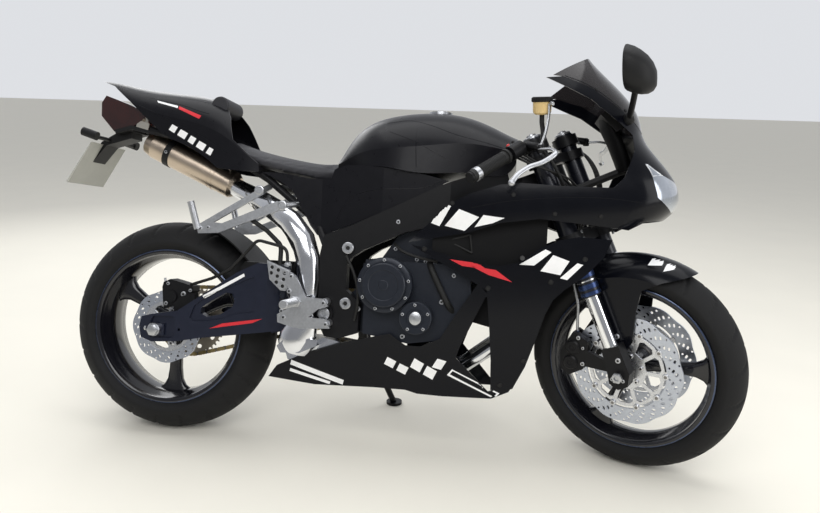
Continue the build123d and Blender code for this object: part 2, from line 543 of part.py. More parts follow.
def clamp(s0, s1):
    """Fork clamp plate square to the steering axis."""
    body = fork_rod(s0, s1, 0, 32, -FORK_OFFSET)
    plate = [fork_rod(s0, s1, y, 38) for y in (-FORK_Y, FORK_Y)]
    web = Pos(0, 0, 0) * Box(44, 2 * FORK_Y, s1 - s0)
    centre = fork_point((s0 + s1) / 2, 0, -12)
    web = Plane(origin=centre, x_dir=(math.cos(RAKE), 0, math.sin(RAKE)), z_dir=STEER_DIR) * web
    piece = join([body, web] + plate)
    return piece - fork_rod(s0 - 5, s1 + 5, -FORK_Y, 27) - fork_rod(s0 - 5, s1 + 5, FORK_Y, 27)


lower_clamp = clamp(368, head_low - 5)
upper_clamp = clamp(head_high + 5, head_high + 32)
stem = fork_rod(368, head_high + 34, 0, STEM_R, -FORK_OFFSET)
STEERING["triple_clamps"] = join([lower_clamp, upper_clamp, stem])
bar_clamp = fork_rod(648, 678, -FORK_Y, 37) - fork_rod(500, 700, -FORK_Y, 27)
BAR_IN, BAR_OUT = (1106, -135, 920), (1042, -335, 844)
bar = rod(BAR_IN, BAR_OUT, 11)
bars = (bar_clamp + bar) - fork_rod(500, 700, -FORK_Y, 27)


def along_bar(t):
    return tuple(BAR_IN[i] + (BAR_OUT[i] - BAR_IN[i]) * t for i in range(3))


switch = rod(along_bar(0.16), along_bar(0.36), 21)
end_weight = rod(along_bar(0.97), along_bar(1.05), 15)
bars = join([bars, switch, end_weight]) - fork_rod(500, 700, -FORK_Y, 27)
STEERING["handlebars"] = group(both(main_solid(bars)))
grip = rod(along_bar(0.42), along_bar(0.97), 17) - bar
STEERING["grips"] = group(both(grip))
lever = tube([(1150, -165, 905), (1190, -190, 897), (1150, -300, 850)], 18, 6)
perch = rod((1100, -150, 915), (1155, -160, 908), 10)
STEERING["control_levers"] = group(both(main_solid(join([perch, lever]) - STEERING["handlebars"])))
cup = rod((1139, -130, 994), (1139, -130, 1042), 26)
post = tube([(1150, -159, 912), (1143, -140, 958), (1139, -130, 996)], 20, 5)
STEERING["brake_reservoir"] = join([cup, post]) - STEERING["control_levers"]

FENDER_HALF, FENDER_SKIN, FENDER_GAP = 79.0, 3.5, 14.0
fender_rise = FRONT_R + FENDER_GAP
with BuildSketch(Plane.XY) as fender_section:
    with BuildLine():
        ThreePointArc((-FENDER_HALF, 262), (0, fender_rise + FENDER_SKIN), (FENDER_HALF, 262))
        Line((FENDER_HALF, 262), (FENDER_HALF, 60))
        Line((FENDER_HALF, 60), (FENDER_HALF - FENDER_SKIN, 60))
        Line((FENDER_HALF - FENDER_SKIN, 60), (FENDER_HALF - FENDER_SKIN, 262))
        ThreePointArc((FENDER_HALF - FENDER_SKIN, 262), (0, fender_rise), (FENDER_SKIN - FENDER_HALF, 262))
        Line((FENDER_SKIN - FENDER_HALF, 262), (FENDER_SKIN - FENDER_HALF, 60))
        Line((FENDER_SKIN - FENDER_HALF, 60), (-FENDER_HALF, 60))
        Line((-FENDER_HALF, 60), (-FENDER_HALF, 262))
    make_face()
fender_outline = [
    (1240, 640), (1252, 575), (1272, 517), (1292, 520), (1300, 490), (1326, 418), (1342, 374), (1372, 352),
    (1392, 384), (1398, 470), (1410, 530), (1460, 556), (1560, 583), (1540, 620), (1450, 660), (1300, 660)]
fender = turn(fender_section.sketch, WHEELBASE, FRONT_R) & prism(fender_outline, -100, 100)
fender_bosses = [rod((x, side * (FENDER_HALF - 2), z), (x, side * FORK_Y, z), 7)
                 for x, z in ((1278, 522), (1362, 368)) for side in (-1, 1)]
fender = join([fender] + fender_bosses)
for other in (STEERING["fork_outer_tubes"], STEERING["fork_inner_tubes"], STEERING["fork_bottoms"]):
    fender = fender - other
STEERING["front_fender"] = main_solid(fender)
front_caliper = prism([(1232, 396), (1195, 335), (1196, 285), (1221, 266), (1262, 290), (1275, 330), (1275, 372)],
                      -100, -50)
front_caliper = front_caliper - disc(WHEELBASE, FRONT_R, 166, -76, -59)
lug = prism([(1262, 300), (1345, 296), (1345, 320), (1275, 345)], -100, -85)
front_caliper = (front_caliper + lug) - foot - STEERING["fork_inner_tubes"]
front_caliper = main_solid(front_caliper)
STEERING["front_calipers"] = group(both(front_caliper))
hose = tube([(1236, -79, 370), (1236, -79, 470), (1214, -79, 560), (1212, -79, 660)], 60, 4)
hose = main_solid(hose - front_caliper - STEERING["triple_clamps"])
STEERING["brake_hoses"] = group(both(hose))

# ---- side stand ---------------------------------------------------------------------
stand_pivot = Vector(*STAND_PIVOT)
stand_foot = Vector(*STAND_FOOT)
stand_down = (stand_foot - stand_pivot).normalized()
stand_up = Vector(*STAND_FOLDED).normalized()
STAND_AXIS = stand_down.cross(stand_up).normalized()
STAND_ANGLE = math.degrees(math.acos(stand_down.dot(stand_up)))
stand_plane = Plane(origin=stand_pivot, x_dir=stand_down, z_dir=STAND_AXIS)
STAND_LENGTH = (stand_foot - stand_pivot).length


def stand_disc(radius, z0, z1):
    return stand_plane * (Pos(0, 0, (z0 + z1) / 2) * Cylinder(radius, z1 - z0))


def stand_bar(angle, length, width, z0, z1):
    bar_box = Pos(length / 2, 0, (z0 + z1) / 2) * Box(length, width, z1 - z0)
    return stand_plane * (Rot(0, 0, angle) * bar_box)


bracket_sides = [stand_disc(17, z0, z0 + 5) + stand_bar(200, 44, 30, z0, z0 + 5) for z0 in (-13.3, 8.3)]
bridge = stand_bar(200, 44, 30, -13.3, 13.3) - stand_disc(26, -20, 20)
CHASSIS["stand_bracket"] = join(bracket_sides + [bridge, stand_disc(6, -16, 16)]) - frame_solid
foot_plane = Plane(origin=stand_foot, x_dir=(1, 0, 0),
                   z_dir=(0, -math.sin(math.radians(LEAN)), math.cos(math.radians(LEAN))))
leg = join([stand_disc(15, -8, 8), stand_bar(0, 60, 22, -8, 8),
            rod(tuple(stand_pivot + stand_down * 40), tuple(stand_pivot + stand_down * (STAND_LENGTH - 3)), 10),
            foot_plane * (Pos(0, 0, 2) * Cylinder(26, 10))])
STAND["side_stand"] = leg - stand_disc(6 + BORE_GAP, -20, 20)

# ---- parking ------------------------------------------------------------------------


def turn_about(point, direction, angle):
    """Location that turns things about an axis through a point, in degrees."""
    at = Plane(origin=point, z_dir=direction).location
    return at * Location((0, 0, 0), (0, 0, angle)) * at.inverse()


def moved_point(place, point):
    return (place * Location(tuple(point))).position


def moved_direction(place, direction):
    return moved_point(place, direction) - moved_point(place, (0, 0, 0))


def wheel_height(radius, crown, axle_direction):
    """Height of a leaning wheel's centre when its round crown touches the ground."""
    return (radius - crown) * math.sqrt(1 - axle_direction.Z ** 2) + crown


STEER = turn_about(tuple(STEER_GROUND), tuple(STEER_DIR), -STEER_STOP)
REAR_CENTRE, FRONT_CENTRE = (0, 0, REAR_R), (WHEELBASE, 0, FRONT_R)
lean = turn_about((0, 0, 0), (1, 0, 0), -LEAN)
pitch = 0.0
for _ in range(8):
    tip = turn_about((0, 0, 0), (0, 1, 0), pitch) * lean
    rear = moved_point(tip, REAR_CENTRE)
    front = moved_point(tip * STEER, FRONT_CENTRE)
    rear_gap = rear.Z - wheel_height(REAR_R, REAR_CROWN, moved_direction(tip, (0, 1, 0)))
    front_gap = front.Z - wheel_height(FRONT_R, FRONT_CROWN, moved_direction(tip * STEER, (0, 1, 0)))
    pitch = pitch + math.degrees((front_gap - rear_gap) / (front.X - rear.X))
upright_to_parked = Pos(0, 0, -rear_gap) * tip
ground = block(-2000, 3000, -1500, 1500, -100, 0)
BODIES = {"chassis": CHASSIS, "steering": STEERING, "front_wheel": FRONT_WHEEL, "rear_wheel": REAR_WHEEL,
          "side_stand": STAND}
PLACES = {name: upright_to_parked * STEER if name in ("steering", "front_wheel") else upright_to_parked
          for name in BODIES}
parked = {}
for body, nodes in BODIES.items():
    for node, shape in nodes.items():
        parked[node] = shape.moved(PLACES[body])
parked["side_stand"] = parked["side_stand"] - ground
boxes = [shape.bounding_box() for shape in parked.values()]
low = [min(getattr(b.min, k) for b in boxes) for k in "XYZ"]
high = [max(getattr(b.max, k) for b in boxes) for k in "XYZ"]
CENTRE = Location((-(low[0] + high[0]) / 2, -(low[1] + high[1]) / 2, -low[2]))
SIZE = [high[i] - low[i] for i in range(3)]

os.makedirs("parts", exist_ok=True)
for node, shape in parked.items():
    export_step(shape.moved(CENTRE), "parts/" + node + ".step")
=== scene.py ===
import json
import math

import bmesh
import bpy
from mathutils import Matrix, Vector
from mathutils.bvhtree import BVHTree


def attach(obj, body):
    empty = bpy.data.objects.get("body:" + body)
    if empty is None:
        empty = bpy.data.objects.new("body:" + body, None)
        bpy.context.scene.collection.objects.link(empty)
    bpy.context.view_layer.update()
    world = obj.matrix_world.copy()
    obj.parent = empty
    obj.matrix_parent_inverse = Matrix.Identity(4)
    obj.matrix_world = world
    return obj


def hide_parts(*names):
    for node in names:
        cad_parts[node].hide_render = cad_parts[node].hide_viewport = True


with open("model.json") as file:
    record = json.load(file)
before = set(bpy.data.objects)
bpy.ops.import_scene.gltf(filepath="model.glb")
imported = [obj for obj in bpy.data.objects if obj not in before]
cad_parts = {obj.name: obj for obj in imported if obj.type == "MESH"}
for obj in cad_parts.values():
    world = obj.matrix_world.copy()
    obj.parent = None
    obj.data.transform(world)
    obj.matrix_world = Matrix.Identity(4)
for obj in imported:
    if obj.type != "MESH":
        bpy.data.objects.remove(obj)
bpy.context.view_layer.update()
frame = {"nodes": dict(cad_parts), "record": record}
record = frame["record"]
NODES = frame["nodes"]
JOINTS = {joint["name"]: joint for joint in record["behaviour"]["joints"]}

# ---- the bike's own frame: mm, X forward, Y left, Z up, origin under the rear axle ----------
RAKE = math.radians(23.55)
REAR_R, FRONT_R, WHEELBASE = 315.0, 300.0, 1375.0
STEER_STOP = math.radians(28.0)
SIDES = (("right", -1), ("left", 1))


def joint_axis(name):
    """Unit direction of a joint of the record, in the row frame."""
    return Vector(JOINTS[name]["axis"]).normalized()


def bike_matrix():
    """Bike frame in millimetres to row frame in metres, read from the record's joints."""
    left = joint_axis("rear_wheel_spin")
    steer = joint_axis("steering_turn")
    normal = left.cross(steer).normalized()
    forward = math.cos(RAKE) * normal - math.sin(RAKE) * steer
    up = math.sin(RAKE) * normal + math.cos(RAKE) * steer
    rotation = Matrix((forward, left, up)).transposed()
    origin = Vector(JOINTS["rear_wheel_spin"]["pos_m"]) - up * REAR_R / 1000
    return Matrix.Translation(origin) @ rotation.to_4x4() @ Matrix.Scale(0.001, 4)


BIKE = bike_matrix()


def steer_matrix():
    """Straight-ahead steering parts in the bike frame to the row frame at rest."""
    pivot = Matrix.Translation(Vector(JOINTS["steering_turn"]["pos_m"]))
    turn = Matrix.Rotation(-STEER_STOP, 4, joint_axis("steering_turn"))
    return pivot @ turn @ pivot.inverted() @ BIKE


STEERED = steer_matrix()

# ---- materials -----------------------------------------------------------------------------


def material(name, color, rough, metallic=0.0, coat=0.0, grain=60.0, tint=0.12, bump=0.0,
             transmission=0.0, ior=1.5, rough_spread=0.08, gloss=0.5):
    """Principled shader whose colour and roughness vary with procedural noise."""
    mat = bpy.data.materials.new(name)
    mat.use_nodes = True
    nodes, links = mat.node_tree.nodes, mat.node_tree.links
    shader = nodes["Principled BSDF"]
    for socket, value in (("Metallic", metallic), ("Coat Weight", coat), ("Coat Roughness", 0.08),
                          ("Transmission Weight", transmission), ("IOR", ior), ("Specular IOR Level", gloss)):
        shader.inputs[socket].default_value = value
    coords = nodes.new("ShaderNodeTexCoord")
    noise = nodes.new("ShaderNodeTexNoise")
    noise.inputs["Scale"].default_value = grain
    noise.inputs["Detail"].default_value = 4.0
    links.new(coords.outputs["Object"], noise.inputs["Vector"])
    mix = nodes.new("ShaderNodeMix")
    mix.data_type = "RGBA"
    mix.inputs["A"].default_value = (*[c * (1 - tint) for c in color], 1)
    mix.inputs["B"].default_value = (*[min(1.0, c * (1 + tint)) for c in color], 1)
    links.new(noise.outputs["Fac"], mix.inputs["Factor"])
    links.new(mix.outputs["Result"], shader.inputs["Base Color"])
    spread = nodes.new("ShaderNodeMapRange")
    spread.inputs["To Min"].default_value = max(0.02, rough - rough_spread)
    spread.inputs["To Max"].default_value = min(1.0, rough + rough_spread)
    links.new(noise.outputs["Fac"], spread.inputs["Value"])
    links.new(spread.outputs["Result"], shader.inputs["Roughness"])
    if bump:
        relief = nodes.new("ShaderNodeBump")
        relief.inputs["Strength"].default_value = bump
        relief.inputs["Distance"].default_value = 0.0006
        links.new(noise.outputs["Fac"], relief.inputs["Height"])
        links.new(relief.outputs["Normal"], shader.inputs["Normal"])
    return mat


LOOKS = (
    # name, colour, roughness, other settings
    ("gloss_black", (0.003, 0.0034, 0.0055), 0.2, dict(coat=0.06, grain=30, gloss=0.14)),
    ("satin_black", (0.006, 0.006, 0.008), 0.3, dict(coat=0.03, grain=40, gloss=0.16)),
    ("frame_black", (0.007, 0.007, 0.008), 0.38, dict(grain=80, bump=0.1, gloss=0.18)),
    ("engine_black", (0.011, 0.014, 0.022), 0.36, dict(metallic=0.3, grain=120, bump=0.2, gloss=0.4)),
    ("black_plastic", (0.009, 0.009, 0.0095), 0.5, dict(grain=300, bump=0.25, gloss=0.2)),
    ("wheel_black", (0.007, 0.007, 0.010), 0.2, dict(coat=0.5, grain=30, gloss=0.35)),
    ("arm_blue", (0.010, 0.013, 0.028), 0.32, dict(metallic=0.3, coat=0.2, grain=40, gloss=0.4)),
    ("fork_blue", (0.010, 0.011, 0.017), 0.3, dict(metallic=0.3, coat=0.2, grain=40, gloss=0.4)),
    ("tyre", (0.011, 0.011, 0.0115), 0.7, dict(grain=500, bump=0.3, gloss=0.2)),
    ("rubber", (0.009, 0.009, 0.009), 0.55, dict(grain=400, bump=0.2, gloss=0.3)),
    ("seat_cover", (0.020, 0.020, 0.024), 0.55, dict(grain=700, bump=0.5, gloss=0.35)),
    ("stainless", (0.72, 0.73, 0.76), 0.14, dict(metallic=1.0, grain=18, rough_spread=0.1)),
    ("titanium", (0.55, 0.46, 0.37), 0.3, dict(metallic=1.0, grain=25)),
    ("silver", (0.46, 0.47, 0.49), 0.32, dict(metallic=0.9, grain=160, tint=0.2, bump=0.12)),
    ("bright_steel", (0.6, 0.6, 0.62), 0.25, dict(metallic=1.0, grain=150)),
    ("dark_steel", (0.22, 0.21, 0.2), 0.4, dict(metallic=0.9, grain=200, bump=0.2)),
    ("disc_steel", (0.5, 0.53, 0.6), 0.3, dict(metallic=0.95, grain=250)),
    ("chrome", (0.85, 0.86, 0.88), 0.06, dict(metallic=1.0, grain=10, rough_spread=0.03)),
    ("radiator", (0.05, 0.05, 0.05), 0.5, dict(metallic=0.5, grain=200, bump=0.4)),
    ("smoke", (0.035, 0.031, 0.032), 0.06, dict(coat=0.5, transmission=0.5, ior=1.2, grain=8)),
    ("lamp_clear", (0.34, 0.37, 0.42), 0.12, dict(metallic=0.6, coat=1.0, grain=14, tint=0.5)),
    ("lamp_red", (0.022, 0.003, 0.002), 0.12, dict(coat=0.8, grain=25, tint=0.6)),
    ("amber", (0.62, 0.45, 0.20), 0.2, dict(coat=0.4, grain=20, tint=0.2)),
    ("plate", (0.40, 0.40, 0.36), 0.45, dict(grain=30, bump=0.1)),
    ("white", (0.85, 0.85, 0.85), 0.35, dict(grain=30)),
    ("red", (0.6, 0.02, 0.03), 0.35, dict(grain=30)),
    ("sprocket", (0.4, 0.36, 0.3), 0.4, dict(metallic=0.9, grain=150)),
    # the rims' lip material: a bluish colour on the outer lip that is painted highlight, not the rim's own
    # colour
    ("rim_lip_painted_highlight", (0.05, 0.07, 0.13), 0.28, dict(metallic=0.6, coat=0.4, grain=30)),
    ("disc_ring", (0.62, 0.63, 0.66), 0.28, dict(metallic=0.95, grain=120)),
    ("chain_gold", (0.42, 0.33, 0.16), 0.35, dict(metallic=1.0, grain=200)),
    ("ring_blue", (0.03, 0.055, 0.15), 0.28, dict(metallic=0.8, coat=0.2, grain=60)),
    ("braid", (0.45, 0.46, 0.48), 0.3, dict(metallic=0.9, grain=900, tint=0.4, bump=0.6)),
    ("liner", (0.006, 0.006, 0.0065), 0.6, dict(grain=120, bump=0.2, gloss=0.1)),
    ("lamp_edge", (0.75, 0.77, 0.80), 0.2, dict(metallic=0.5, coat=0.5, grain=30)),
    ("red_plastic", (0.55, 0.02, 0.02), 0.35, dict(grain=40)),
    ("display", (0.02, 0.024, 0.028), 0.12, dict(coat=0.8, grain=20)),
)
MATERIALS = {name: material(name, color, rough, **more) for name, color, rough, more in LOOKS}

NODES_BY_MATERIAL = {
    "amber": ("brake_reservoir",),
    "arm_blue": ("swingarm",),
    "black_plastic": ("plate_holder", "hugger", "instrument_cluster", "mirrors"),
    "braid": ("brake_hoses",),
    "bright_steel": ("pivot_shaft", "rear_axle", "front_axle"),
    "chrome": ("fork_inner_tubes",),
    "dark_steel": ("engine_sprocket", "drive_chain"),
    "disc_steel": ("front_discs", "rear_disc"),
    "engine_black": ("engine_block", "engine_covers", "rear_master_cylinder"),
    "fork_blue": ("fork_outer_tubes",),
    "frame_black": ("main_frame", "subframe", "rear_caliper", "stand_bracket", "side_stand", "fork_bottoms",
                    "triple_clamps", "handlebars", "front_calipers"),
    "gloss_black": ("side_fairings", "belly_pans", "front_cowl", "front_fender"),
    "lamp_clear": ("headlights",),
    "lamp_red": ("tail_light",),
    "plate": ("licence_plate",),
    "radiator": ("radiator",),
    "rubber": ("grips", "rear_brake_hoses"),
    "satin_black": ("fuel_tank", "side_covers", "tail_cowl"),
    "seat_cover": ("seat", "back_pad"),
    "silver": ("rearsets", "passenger_brackets", "control_levers", "fuel_cap"),
    "smoke": ("windscreen",),
    "sprocket": ("rear_sprocket",),
    "stainless": ("exhaust_system",),
    "titanium": ("muffler",),
    "tyre": ("front_tyre", "rear_tyre"),
    "wheel_black": ("front_rim", "rear_rim"),
}
CAD_SHARP_EDGE = math.radians(32)
for key, names in NODES_BY_MATERIAL.items():
    for node in names:
        mesh = NODES[node].data
        mesh.materials.clear()
        mesh.materials.append(MATERIALS[key])
        for polygon in mesh.polygons:
            polygon.use_smooth = True
        mesh.set_sharp_from_angle(angle=CAD_SHARP_EDGE)


# ---- mesh helpers: everything is drawn in bike-frame millimetres ----------------------------


def finish_piece(name, bm, place, key, body, smooth=35.0):
    """Turns a bmesh in bike millimetres into a piece in the row frame that rides on a body."""
    mesh = bpy.data.meshes.new(name)
    bm.normal_update()
    bm.to_mesh(mesh)
    bm.free()
    mesh.transform(place)
    keys = key if isinstance(key, (list, tuple)) else (key,)
    for one in keys:
        mesh.materials.append(MATERIALS[one])
    for polygon in mesh.polygons:
        polygon.use_smooth = True
    mesh.set_sharp_from_angle(angle=math.radians(smooth))
    piece = bpy.data.objects.new(name, mesh)
    bpy.context.collection.objects.link(piece)
    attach(piece, body)
    return piece


def turns(count, phase=0.0):
    """Angles at equal steps round a circle, from a phase given as a share of one step."""
    return [2 * math.pi * (i + phase) / count for i in range(count)]


def around(cx, cz, radius, count, phase=0.0):
    """Places (x, z, angle) at equal steps round a circle."""
    return [(cx + radius * math.cos(a), cz + radius * math.sin(a), a) for a in turns(count, phase)]


def circle(cx, cz, radius, seg=32):
    """Round outline in (x, z)."""
    return [(x, z) for x, z, _ in around(cx, cz, radius, seg)]


def oval(centre, u, v, ru, rv, seg):
    """Loop of points round a centre, ru along u and rv along v."""
    return [centre + u * (ru * math.cos(a)) + v * (rv * math.sin(a)) for a in turns(seg)]


def frame_of(direction):
    """Two unit vectors square to a direction."""
    w = Vector(direction).normalized()
    helper = Vector((0, 0, 1)) if abs(w.z) < 0.9 else Vector((1, 0, 0))
    u = w.cross(helper).normalized()
    return u, w.cross(u)


def carried_frames(path, u):
    """Two unit vectors square to a path at each point, carried along so that they don't twist."""
    frames = []
    for i in range(len(path)):
        tangent = (path[min(i + 1, len(path) - 1)] - path[max(i - 1, 0)]).normalized()
        u = (u - tangent * u.dot(tangent)).normalized()
        frames.append((u, tangent.cross(u)))
    return frames


def smooth_path(points, steps=8):
    """Catmull-Rom points through a path."""
    pts = [Vector(p) for p in points]
    pts = [pts[0] * 2 - pts[1]] + pts + [pts[-1] * 2 - pts[-2]]
    out = []
    for a, b, c, d in zip(pts, pts[1:], pts[2:], pts[3:]):
        for k in range(steps):
            t = k / steps
            out.append(0.5 * ((2 * b) + (c - a) * t + (2 * a - 5 * b + 4 * c - d) * t * t
                              + (3 * b - a - 3 * c + d) * t ** 3))
    return out + [pts[-2]]


def add_ring_strip(bm, rings, mat=0):
    """Joins loops of points into a closed skin with capped ends."""
    rows = [[bm.verts.new(p) for p in ring] for ring in rings]
    for a, b in zip(rows, rows[1:]):
        count = len(a)
        for i in range(count):
            j = (i + 1) % count
            bm.faces.new((a[i], a[j], b[j], b[i])).material_index = mat
    bm.faces.new(list(reversed(rows[0]))).material_index = mat
    bm.faces.new(rows[-1]).material_index = mat


def add_rod(bm, p, q, r0, r1=None, seg=24, chamfer=0.0, mat=0):
    """Round bar or cone between two points, with chamfered ends."""
    p, q = Vector(p), Vector(q)
    r1 = r0 if r1 is None else r1
    u, v = frame_of(q - p)
    along = (q - p).normalized()
    stations = [(p, r0), (q, r1)]
    if chamfer:
        inset = along * chamfer
        stations = [(p, r0 - chamfer), (p + inset, r0), (q - inset, r1), (q, r1 - chamfer)]
    add_ring_strip(bm, [oval(centre, u, v, radius, radius, seg) for centre, radius in stations], mat)


def add_hose(bm, points, radius, seg=16, steps=8, mat=0, squash=1.0):
    """Tube along a smooth path."""
    path = smooth_path(points, steps)
    start, _ = frame_of(path[1] - path[0])
    add_ring_strip(bm, [oval(p, u, v, radius, radius * squash, seg)
                        for p, (u, v) in zip(path, carried_frames(path, start))], mat)


def add_turned(bm, origin, axis, profile, seg=64, mat=0):
    """Profile of (distance along the axis, radius) turned about the axis."""
    origin, along = Vector(origin), Vector(axis).normalized()
    u, v = frame_of(along)
    rings = [oval(origin + along * far, u, v, radius, radius, seg) for far, radius in profile]
    add_ring_strip(bm, rings, mat)


def add_lathe(bm, x, z, profile, seg):
    """Closed profile of (y, radius, material) turned about a wheel's axle at x, z."""
    columns = [[bm.verts.new((x + r * math.cos(a), y, z + r * math.sin(a))) for y, r, _ in profile]
               for a in turns(seg)]
    count = len(profile)
    for i in range(seg):
        a, b = columns[i], columns[(i + 1) % seg]
        for k in range(count):
            m = (k + 1) % count
            bm.faces.new((a[k], b[k], b[m], a[m])).material_index = profile[k][2]


def add_bolt(bm, place, direction, radius, height, mat=0):
    """Socket-head screw. The socket takes the next material."""
    p = Vector(place)
    d = Vector(direction).normalized()
    add_rod(bm, p, p + d * height, radius, seg=20, chamfer=radius * 0.15, mat=mat)
    add_rod(bm, p + d * (height - 0.2), p + d * (height + 0.15), radius * 0.5, seg=6, mat=mat + 1)


def add_plate(bm, outline, holes, y0, y1, bevel=0.8, mat=0):
    """Flat plate with holes: (x, z) outline filled and given thickness, with rounded edges."""
    data = bpy.data.curves.new("plate", "CURVE")
    data.dimensions = "2D"
    data.fill_mode = "BOTH"
    data.extrude = (y1 - y0) / 2 - bevel
    data.bevel_depth = bevel
    data.bevel_resolution = 2
    data.offset = -bevel
    for loop in [outline] + list(holes):
        spline = data.splines.new("POLY")
        spline.points.add(len(loop) - 1)
        for point, (px, pz) in zip(spline.points, loop):
            point.co = (px, pz, 0, 1)
        spline.use_cyclic_u = True
    holder = bpy.data.objects.new("plate", data)
    bpy.context.collection.objects.link(holder)
    graph = bpy.context.evaluated_depsgraph_get()
    mesh = bpy.data.meshes.new_from_object(holder.evaluated_get(graph))
    bpy.data.objects.remove(holder)
    bpy.data.curves.remove(data)
    mesh.transform(Matrix(((1, 0, 0, 0), (0, 0, -1, (y0 + y1) / 2), (0, 1, 0, 0), (0, 0, 0, 1))))
    first = len(bm.faces)
    bm.from_mesh(mesh)
    bm.faces.ensure_lookup_table()
    for face in bm.faces[first:]:
        face.material_index = mat
    bpy.data.meshes.remove(mesh)


def slot_hole(cx, cz, length, radius, angle, seg=8):
    """Rounded slot outline."""
    points = []
    for end, base in ((1, -math.pi / 2), (-1, math.pi / 2)):
        for k in range(seg + 1):
            a = base + math.pi * k / seg
            px, pz = end * (length / 2 - radius) + radius * math.cos(a), radius * math.sin(a)
            points.append((cx + px * math.cos(angle) - pz * math.sin(angle),
                           cz + px * math.sin(angle) + pz * math.cos(angle)))
    return points


# ---- tyres: crowned section with cut grooves ------------------------------------------------

TYRE_BEAD_R = 225.3
GROOVE_DEPTH = 3.2
# Shares of the way from the middle to the shoulder between which the grooves lie, and their taper
GROOVES_FROM, GROOVES_TO, GROOVE_TAPER = 0.10, 0.86, 0.35


def tyre_piece(name, node, x, radius, width, crown, place, body, grooves):
    """Outer skin with sickle grooves, and the side walls down to the rim."""
    seg, across, wall_steps = 432, 56, 10
    half = width / 2 - 1
    shoulder = math.asin(min(1.0, half / crown))
    shoulder_r = radius - crown + crown * math.cos(shoulder)
    section = []
    for k in range(across + 1):
        t = -1 + 2 * k / across
        a = shoulder * t
        section.append((crown * math.sin(a), radius - crown + crown * math.cos(a), t))
    wall = []
    for k in range(1, wall_steps + 1):
        s = k / wall_steps
        y = half - 21 * s ** 1.6 + 2.0 * math.sin(math.pi * s)
        wall.append((y, shoulder_r + (TYRE_BEAD_R - shoulder_r) * s, None))
    profile = [(-y, r, None) for y, r, _ in reversed(wall)] + section + wall
    bm = bmesh.new()
    columns = []
    for i, a in enumerate(turns(seg)):
        column = []
        for y, r, t in profile:
            deep = r if t is None else r - groove_depth(i / seg, t, grooves)
            column.append(bm.verts.new((x + deep * math.cos(a), y, radius + deep * math.sin(a))))
        columns.append(column)
    for i in range(seg):
        a, b = columns[i], columns[(i + 1) % seg]
        for k in range(len(profile) - 1):
            bm.faces.new((a[k], a[k + 1], b[k + 1], b[k]))
    piece = finish_piece(name, bm, place, "tyre", body, smooth=50)
    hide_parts(node)


def groove_depth(turn, t, grooves):
    """Depth of the tread pattern at a place: turn 0..1 round the tyre, t -1..1 across it."""
    repeats, lean_over, half_width = grooves
    side = 1 if t >= 0 else -1
    reach = abs(t)
    if reach < GROOVES_FROM or reach > GROOVES_TO:
        return 0.0
    phase = turn * repeats + side * 0.25 - lean_over * math.sqrt(reach)
    off = abs((phase % 1.0) - 0.5)
    return GROOVE_DEPTH if off < half_width * (1.0 - GROOVE_TAPER * reach) else 0.0


# ---- wheels ---------------------------------------------------------------------------------


def rim_piece(name, node, x, z, half, hub_half, hub_r, bore_r, angles, width, place, body):
    """Barrel with stepped lips in a bluish painted highlight, hub with collars, and three broad spokes."""
    bm = bmesh.new()
    plain, lip_highlight = 0, 1
    # The outer lip rows take the bluish lip material, a painted highlight along the rim's edge.
    barrel = [
        # y, radius, material
        (-half, 222, plain), (-half - 0.5, 228, lip_highlight), (-half + 1.5, 231.5, lip_highlight),
        (-half + 5, 231.5, plain), (-half + 7, 226, plain), (-half + 24, 223.5, plain),
        (-half + 36, 212, plain), (half - 36, 212, plain), (half - 24, 223.5, plain), (half - 7, 226, plain),
        (half - 5, 231.5, lip_highlight), (half - 1.5, 231.5, lip_highlight), (half + 0.5, 228, plain), (half, 222, plain),
        (half - 3, 217.5, plain), (half - 20, 215, plain), (half - 34, 205, plain), (10, 202.5, plain),
        (-10, 202.5, plain), (-half + 34, 205, plain), (-half + 20, 215, plain), (-half + 3, 217.5, plain),
    ]
    add_lathe(bm, x, z, barrel, seg=144)
    hub_end = [(-hub_half, bore_r + 1), (-hub_half, hub_r - 6), (-hub_half + 4, hub_r - 2),
               (-hub_half + 18, hub_r - 3), (-18, hub_r)]
    hub = hub_end + [(-y, r) for y, r in reversed(hub_end)]
    add_lathe(bm, x, z, [(y, r, plain) for y, r in hub], seg=72)
    stations = [
        # radius, half width, half thickness
        (hub_r - 8, width * 1.05, 20), (hub_r + 14, width * 0.86, 19), (95, width * 0.74, 17),
        (135, width * 0.78, 16), (170, width * 1.0, 15), (192, width * 1.45, 15), (206, width * 2.15, 16),
    ]
    for angle in angles:
        a = math.radians(angle)
        out = Vector((math.cos(a), 0, math.sin(a)))
        side = Vector((-math.sin(a), 0, math.cos(a)))
        rings = []
        for r, w, t in stations:
            ring = []
            for b in turns(28):
                cu, cv = math.cos(b), math.sin(b)
                pu = w * math.copysign(abs(cu) ** 0.6, cu)
                pv = t * math.copysign(abs(cv) ** 0.7, cv)
                drop = math.sqrt(max(r * r - pu * pu, 0)) if r > 180 else r
                ring.append(Vector((x, 0, z)) + out * drop + side * pu + Vector((0, pv, 0)))
            rings.append(ring)
        add_ring_strip(bm, rings)
    piece = finish_piece(name, bm, place, ("wheel_black", "rim_lip_painted_highlight"), body, smooth=40)
    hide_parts(node)


# Drillings of a disc: radius, count, phase, slot length (0 for a round hole), half width, slant
FRONT_DRILLINGS = ((146, 24, 0.0, 0, 3.0, 0), (137, 24, 0.33, 11, 3.0, 0.9), (128, 24, 0.6, 11, 3.0, 0.9),
                   (118.5, 24, 0.85, 0, 3.0, 0))
REAR_DRILLINGS = ((103, 20, 0.0, 0, 2.8, 0), (94, 20, 0.3, 10, 2.8, 0.9), (84, 20, 0.6, 0, 2.8, 0))
# Corners of a carrier's window: radius, angle from its middle
FRONT_WINDOW = ((56, -0.22), (56, 0.22), (90, 0.25), (96, 0.14), (96, -0.14), (90, -0.25))
REAR_WINDOW = ((40, -0.33), (40, 0.33), (64, 0.42), (67, 0.2), (67, -0.2), (64, -0.42))


